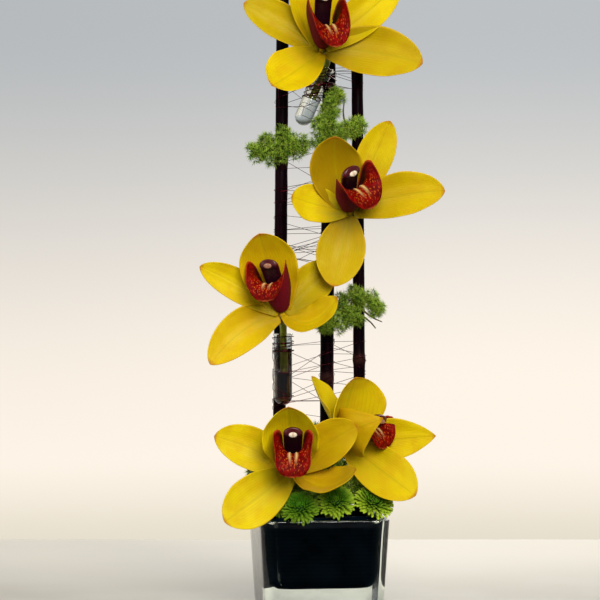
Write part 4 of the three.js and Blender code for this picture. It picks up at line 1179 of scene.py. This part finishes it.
def floretShape():  # one floret of unit length up +Z, its hollow facing +X
    def pointAt(u, v):
        width = floretForm["width"] / 2 * (0.35 + 0.65 * smooth(v, 0, 0.6))
        width *= 1 - 0.45 * smooth(v, 0.82, 1)
        notch = 0.05 * smooth(v, 0.9, 1) * math.cos(2 * math.pi * u)
        cup = floretForm["hollow"] * u * u * smooth(v, 0.05, 0.5)
        return Vector((cup + floretForm["curl"] * v ** 3, -width * u, v - notch))

    return bladeShape(pointAt, 4, 4, lambda u, v: floretForm["thickness"],
                      lambda u, v, face: {"along": v}, 1.2)


def makeButton(number, button, floret):
    radius = button["radius"]
    faces = Vector(button["faces"]).normalized()
    side, up = acrossOf(faces)
    place = Matrix.Translation(Vector(button["at"])) @ Matrix((side, up, faces)).transposed().to_4x4()
    turn = place.to_3x3()
    chance = random.Random(f"button {number}")
    points, ways, lifts, sizes, tintsAndLight = [], [], [], [], []
    for k in range(floretForm["count"]):
        share = (k + 0.5) / floretForm["count"]
        angle = math.radians(goldenAngle * k) + chance.uniform(-0.1, 0.1)
        fall = (floretForm["lowest"] - floretForm["steepest"]) * share ** 0.9
        slope = math.radians(floretForm["steepest"] + fall + chance.uniform(-6, 6))
        outwards = Vector((math.cos(angle), math.sin(angle), 0))
        base = outwards * radius * floretForm["core"] * math.sqrt(share)
        base.z = radius * floretForm["rise"] * (1 - share * 1.4)
        points.append(place @ base)
        ways.append(turn @ (outwards * math.cos(slope) + Vector((0, 0, math.sin(slope)))))
        lifts.append(turn @ (Vector((0, 0, math.cos(slope))) - outwards * math.sin(slope)))
        sizes.append(radius * (floretForm["shortest"]
                               + (floretForm["longest"] - floretForm["shortest"]) * share ** 0.8))
        # paler towards the outer florets, a little different each, times the button's painted light
        tintsAndLight.append(button.get("paleAndLit", 0.7) * (chance.random() * 0.25 + 0.75 * smooth(share, 0.25, 0.95)))
    spots = {"points": points, "faces": [], "uvs": [],
             "marks": {"way": ways, "lift": lifts, "size": sizes, "tint": tintsAndLight}}
    piece = makeObject(f"buttonFlower{number}", spots, buttonGreen)

    neck = place @ Vector((0, 0, -2))
    foot = Vector((button["at"][0] * 0.74, button["at"][1] * 0.74, 46))
    middle = (place @ Vector((0, 0, -13))).lerp(foot, 0.25)
    marks = {"along": lambda u, v: 0.4, "tint": lambda u, v: 0.2}
    stem = tubeShape(lambda t: neck * (1 - t) ** 2 + middle * 2 * t * (1 - t) + foot * t * t,
                     lambda t, angle: floretForm["stem"] + 0.1 * math.cos(5 * angle), 16, 12, marks)
    squash = place @ Matrix.Diagonal((1, 1, 0.5, 1))
    # the core under the florets takes the darkest root green: painted shade
    coreMarks = {"along": lambda u, v: 0.0, "tint": lambda u, v: 0.0}
    core = ballShape(None, radius * floretForm["core"], squash, 20, coreMarks)
    coreObject = makeObject(f"buttonCore{number}", joinShapes([stem, core]), buttonGreen)
    runTree(piece, bladeScatter, {
        "Blade": floret, "Core": coreObject, "Material": buttonGreen,
        "Spread": floretForm["spread"], "Twist": floretForm["twist"], "Seed": number})
    bpy.data.objects.remove(coreObject)
    placePiece(piece, "button", f"button_flower_{number}")


floret = makeObject("floret", floretShape(), buttonGreen)
for number, button in enumerate(buttons, 1):
    makeButton(number, button, floret)
bpy.data.objects.remove(floret)
print("button flowers made")


# Needle fern

ferns = {
    "left": {
        "burrs": ((-43, -8, 363, 13.5), (-47, -6, 359, 10.5), (-34, -11, 357, 12), (-28, -10, 369, 11.5),
                  (-20, -8, 361, 12), (-15, -7, 365, 11.5)),
    },
    "middle": {
        "burrs": ((14, -7, 402, 8.5), (10, -7, 391, 10.5), (5, -9, 380, 12), (2, -8, 367, 11),
                  (15, -8, 371, 11), (23, -9, 377, 10), (31, -7, 379, 9)),
        "twigs": (((22, -9, 380), (20.5, -12, 397)),),
    },
    "right": {
        "burrs": ((5, -9, 224, 9), (14, -10, 226, 12), (17, -9, 238, 12), (27, -10, 244, 12.5),
                  (27, -10, 229, 11), (37, -8, 244, 11), (45, -8, 237, 8)),
        "twigs": (((34, -9, 236), (50, -10, 226)), ((32, -9, 232), (45, -11, 221))),
    },
    "footLeft": {
        "burrs": ((-26, -22, 97, 12), (-46, 0, 108, 11), (-38, -4, 108, 12), (-32, 10, 106, 12),
                  (-18, 12, 106, 13), (-22, 0, 112, 10)),
    },
    "footRight": {
        "burrs": ((2, -2, 124, 11), (0, -2, 140, 10), (14, 10, 110, 13), (29, 10, 106, 13),
                  (42, 4, 114, 12), (52, 1, 130, 12), (-2, -20, 98, 12), (-1, -37, 89, 8),
                  (28, -20, 100, 13), (14, -16, 112, 11)),
    },
}
needleForm = {
    "tufts": 56, "needles": 30, "shortest": 3.4, "longest": 6, "radius": 0.24, "widestAt": 0.3,
    "spread": 0.3, "twist": 3.1, "bend": 0.14, "outwards": 0.35, "twig": 0.28, "bareTwig": 0.8,
    "twigBow": 0.12,
}


def needleShape():  # one needle of unit length up +Z, widest low down, bent a little to +X
    bend, low = needleForm["bend"], needleForm["widestAt"]
    belly = Vector((bend * low * low, 0, low))
    radius = needleForm["radius"] / needleForm["longest"]
    ring = ringOutline(belly, Vector((1, 0, 0)), Vector((0, 1, 0)), lambda angle: radius, 3)
    points = [Vector((0, 0, 0))] + ring + [Vector((bend, 0, 1))]
    faces = [[0, 2, 1], [0, 3, 2], [0, 1, 3], [4, 1, 2], [4, 2, 3], [4, 3, 1]]
    marks = {"along": [p.z for p in points]}
    return outward({"points": points, "faces": faces, "uvs": [(0, p.z) for p in points], "marks": marks})


def makeFern(key, fern, needle):
    chance = random.Random(f"fern {key}")

    def anyWay():
        z = chance.uniform(-1, 1)
        angle = chance.uniform(0, 2 * math.pi)
        return Vector((math.sqrt(1 - z * z) * math.cos(angle), math.sqrt(1 - z * z) * math.sin(angle), z))

    points, ways, lifts, sizes, tintsAndLight, twigs = [], [], [], [], [], []
    marks = {"along": lambda u, v: 0.3, "tint": lambda u, v: 0.0}

    def addTwig(start, end, radius):
        bow = anyWay() * (end - start).length * needleForm["twigBow"]

        def pathAt(t):
            return start.lerp(end, t) + bow * 4 * t * (1 - t)

        twigs.append(tubeShape(pathAt, lambda t, angle: radius * (1 - 0.4 * t), 3, 4, marks))

    centres = [Vector(burr[:3]) for burr in fern["burrs"]]
    for first, second in zip(centres, centres[1:]):
        addTwig(first, second, needleForm["twig"] * 1.5)
    for *centre, reach in fern["burrs"]:
        centre = Vector(centre)
        for _ in range(needleForm["tufts"]):
            tuft = centre + anyWay() * reach * 0.8 * chance.random() ** 0.4
            tone = chance.random()
            addTwig(centre, tuft, needleForm["twig"])
            for _ in range(needleForm["needles"]):
                way = (anyWay() + (tuft - centre).normalized() * needleForm["outwards"]).normalized()
                points.append(tuft + way * 0.3)
                ways.append(way)
                lifts.append(acrossOf(way, Vector((0.3, 0.2, 1)))[0])
                sizes.append(chance.uniform(needleForm["shortest"], needleForm["longest"]))
                tintsAndLight.append(tone * 0.5 + 0.5 * chance.random())
    for start, end in fern.get("twigs", ()):
        addTwig(Vector(start), Vector(end), needleForm["bareTwig"])
    spots = {"points": points, "faces": [], "uvs": [],
             "marks": {"way": ways, "lift": lifts, "size": sizes, "tint": tintsAndLight}}
    piece = makeObject(f"needleFern_{key}", spots, fernGreen)
    core = makeObject(f"fernTwigs_{key}", joinShapes(twigs), fernTwig)
    runTree(piece, bladeScatter, {
        "Blade": needle, "Core": core, "Material": fernGreen,
        "Spread": needleForm["spread"], "Twist": needleForm["twist"], "Seed": len(points)})
    bpy.data.objects.remove(core)
    placePiece(piece, "fern", f"fern_{key}")


needle = makeObject("needle", needleShape(), fernGreen)
for key, fern in ferns.items():
    makeFern(key, fern, needle)
bpy.data.objects.remove(needle)
print("ferns made")


# Wire wound round the canes and tubes, in bands of (low, high, turns). rise is the share of each
# turn's climb that happens across the front. Each strand starts at an angle in degrees.

wireForm = {"radius": 0.2, "sides": 6, "gap": 0.5, "samples": 44}
windings = [
    {"bands": ((140, 210, 3), (266, 300, 2), (317, 343, 1), (411, 424, 1)), "rise": 0.9, "wander": 2.5,
     "start": 80},
    {"bands": ((150, 206, 2), (272, 298, 1), (322, 344, 1), (410, 422, 1)), "rise": 0.15, "wander": 3,
     "start": 100},
    {"bands": ((160, 214, 2), (256, 312, 3), (332, 352, 1), (384, 414, 1)), "rise": -1.4, "wander": 7,
     "start": 60, "around": ("left", "middle")},
    {"bands": ((150, 206, 2), (258, 318, 3), (330, 350, 1), (372, 420, 2)), "rise": 2.1, "wander": 6,
     "start": 118, "around": ("left", "middle")},
    {"bands": ((262, 322, 3), (392, 404, 1)), "rise": 1.3, "wander": 9, "start": 100,
     "around": ("left", "middle")},
    {"bands": ((180, 210, 2), (268, 280, 1), (400, 424, 2)), "rise": -1.1, "wander": 4, "start": 90,
     "around": ("middle", "right")},
    {"bands": ((201, 214, 6), (164, 168, 1)), "rise": 0.3, "wander": 1.6, "start": 90,
     "around": ("left", "lower"), "thick": 1.7},
    {"bands": ((400, 416, 6),), "rise": 0.5, "wander": 2.5, "start": 90,
     "around": ("middle", "top"), "thick": 1.9},
    {"bands": ((286, 298, 6),), "rise": 0.3, "wander": 1.4, "start": 90, "around": ("middle", "upper")},
]


def boundItems(z, around):  # the canes and tubes that a strand holds together at a height
    items = []
    for key, cane in canes.items():
        centre = caneCentre(cane, z)
        if key in around:
            items.append((centre.x, centre.y, cane["radius"] + knotForm["swell"] * knotAt(cane, z)))
    for key, tube in tubes.items():
        bottom, top = Vector(tube["bottom"]), Vector(tube["top"])
        share = (z - bottom.z) / (top.z - bottom.z)
        if -0.2 < share < 1.12 and (key in around or key != "lower" or "left" in around):
            centre = bottom.lerp(top, clamp(share))
            items.append((centre.x, centre.y, tubeForm["radius"] + tubeForm["lip"]))
    return items


def wirePoint(angle, z, around):  # where the wire lies at a height, looking out from the middle
    x, y = math.cos(angle), math.sin(angle)
    item = max(boundItems(z, around), key=lambda entry: entry[0] * x + entry[1] * y + entry[2])
    radius = item[2] + wireForm["gap"]
    return Vector((item[0] + radius * x, item[1] + radius * y, z))


def turnPoints(winding, base, pitch, turn):  # one turn, which climbs by the length that it has run
    around = winding.get("around", tuple(canes))
    angles = [math.radians(winding["start"]) + 2 * math.pi * k / wireForm["samples"]
              for k in range(wireForm["samples"] + 1)]
    level = [wirePoint(angle, base, around) for angle in angles]
    runs = [0]
    for a, b in zip(level, level[1:]):
        runs.append(runs[-1] + (b - a).length)
    points = []
    for angle, run in zip(angles, runs):
        share = run / runs[-1]
        climb = winding["rise"] * smooth(share, 0.36, 0.64) + (1 - winding["rise"]) * share
        stray = winding["wander"] * math.sin(math.pi * share) * math.sin((turn + share) * 2.6)
        points.append(wirePoint(angle, base + pitch * climb + stray, around))
    return points


def windingPoints(winding):
    points = []
    for low, high, turns in winding["bands"]:
        pitch = (high - low) / turns
        for turn in range(turns):
            points += turnPoints(winding, low + pitch * turn, pitch, turn)
    return points


def makeWire():
    points, edges, thick = [], [], []
    for winding in windings:
        path = windingPoints(winding)
        thick += [winding.get("thick", 1.0)] * len(path)
        edges += [(len(points) + i, len(points) + i + 1) for i in range(len(path) - 1)]
        points += path
    mesh = bpy.data.meshes.new("wireWinding")
    mesh.from_pydata([p * mm for p in points], edges, [])
    mesh.attributes.new("thick", "FLOAT", "POINT").data.foreach_set("value", thick)
    piece = bpy.data.objects.new("wireWinding", mesh)
    scene.collection.objects.link(piece)
    runTree(piece, strandSweep, {
        "Radius": wireForm["radius"] * mm, "Sides": wireForm["sides"], "Material": wireMetal})
    placePiece(piece, "wire", "wire_winding")


makeWire()
print("wire wound")


# Table, light and camera

stage = {"left": -1300, "right": 1300, "front": -120, "back": 500, "mottlesPerMetre": 9.0}
lights = {
    "key": {"at": (0.4, -1.9, 1.05), "aim": (0, 0, 0.25), "size": 1.1, "power": 53, "colour": "fffaf2"},
    "fill": {"at": (-1.3, -0.9, 0.6), "aim": (0, 0, 0.25), "size": 1.0, "power": 9, "colour": "f4f7ff"},
    "back": {"at": (0.2, 1.0, 0.8), "aim": (0, 0.5, 0), "size": 0.8, "power": 9, "colour": "fffaf4"},
}
look = {"target": (-0.0139, 0, 0.243), "distance": 1.7, "lens": 130.06, "sensor": 36}

corners = ((stage["left"], stage["front"]), (stage["right"], stage["front"]),
           (stage["right"], stage["back"]), (stage["left"], stage["back"]))
# Honed pale stone: a soft sheen, with faint mottles. It is darker in front and paler towards the
# back: painted light for the lamps' light on the far table.
tableMaterial, tableTree, tableShader = newMaterial("paleStoneTable", Roughness=0.4)
tablePlace = addNode(tableTree, "ShaderNodeTexCoord").outputs["Object"]
mottle = addNode(tableTree, "ShaderNodeTexNoise", {
    "Vector": tablePlace, "Scale": stage["mottlesPerMetre"], "Detail": 5.0}).outputs[0]
depth = addNode(tableTree, "ShaderNodeSeparateXYZ", {"Vector": tablePlace}).outputs[1]
# darker in front, paler to the back: painted light
cover(tableTree, tableShader, layered(
    tableTree, "c2beb0", ("f0ebde", (depth, 0.0, 0.4)), ("e6e3db", (mottle, 0.35, 0.7, 0.0, 0.3))))
table = makeObject("table", {
    "points": [Vector((x, y, 0)) for x, y in corners], "faces": [[0, 1, 2, 3]],
    "uvs": [(0, 0), (1, 0), (1, 1), (0, 1)], "marks": {}}, tableMaterial)

# The room: a pale wall that greys upwards and to the left, grey overhead and behind the camera, and dark
# low in front, which the vase's glass shows.
world = bpy.data.worlds.new("paleRoom")
scene.world = world
world.use_nodes = True
room = world.node_tree
gaze = addNode(room, "ShaderNodeTexCoord").outputs["Generated"]
across, away, height = addNode(room, "ShaderNodeSeparateXYZ", {"Vector": gaze}).outputs
tilted = addNode(room, "ShaderNodeMath", {0: away, 1: height}, operation="ADD").outputs[0]
wall = layered(room, "fff5e8", ("bdc1c4", (height, -0.04, 0.13)))
wall = layered(
    room, "e6decc",
    (wall, (height, -0.115, -0.07)),
    ("8c9092", (across, -0.16, 0.1, 0.16, 0.0), (height, -0.1, 0.03)),
    ("5c5e60", (height, 0.15, 0.45)))
wall = layered(room, "6e6f70", (wall, (away, -0.3, 0.3)))
wall = layered(
    room, "585a5c",
    (wall, (tilted, -0.9, -0.3)),
    ("0c1014", (height, -0.2, -0.16, 1.0, 0.0), (away, -0.6, -0.3, 1.0, 0.0)))
background = room.nodes["Background"]
feed(room, background.inputs["Color"], wall)
background.inputs["Strength"].default_value = 1.0

for name, light in lights.items():
    data = bpy.data.lights.new(name, "AREA")
    data.size = light["size"]
    data.energy = light["power"]
    data.color = linear(light["colour"])[:3]
    lamp = bpy.data.objects.new(name, data)
    lamp.location = light["at"]
    aim = Vector(light["aim"]) - Vector(light["at"])
    lamp.rotation_euler = aim.to_track_quat("-Z", "Y").to_euler()
    lamp.visible_transmission = False
    scene.collection.objects.link(lamp)

cameraData = bpy.data.cameras.new("camera")
cameraData.lens = look["lens"]
cameraData.sensor_width = look["sensor"]
camera = bpy.data.objects.new("camera", cameraData)
camera.location = Vector(look["target"]) - Vector((0, look["distance"], 0))
camera.rotation_euler = (math.pi / 2, 0, 0)
scene.collection.objects.link(camera)
scene.camera = camera
scene.view_settings.view_transform = "Standard"

print("scene ready")
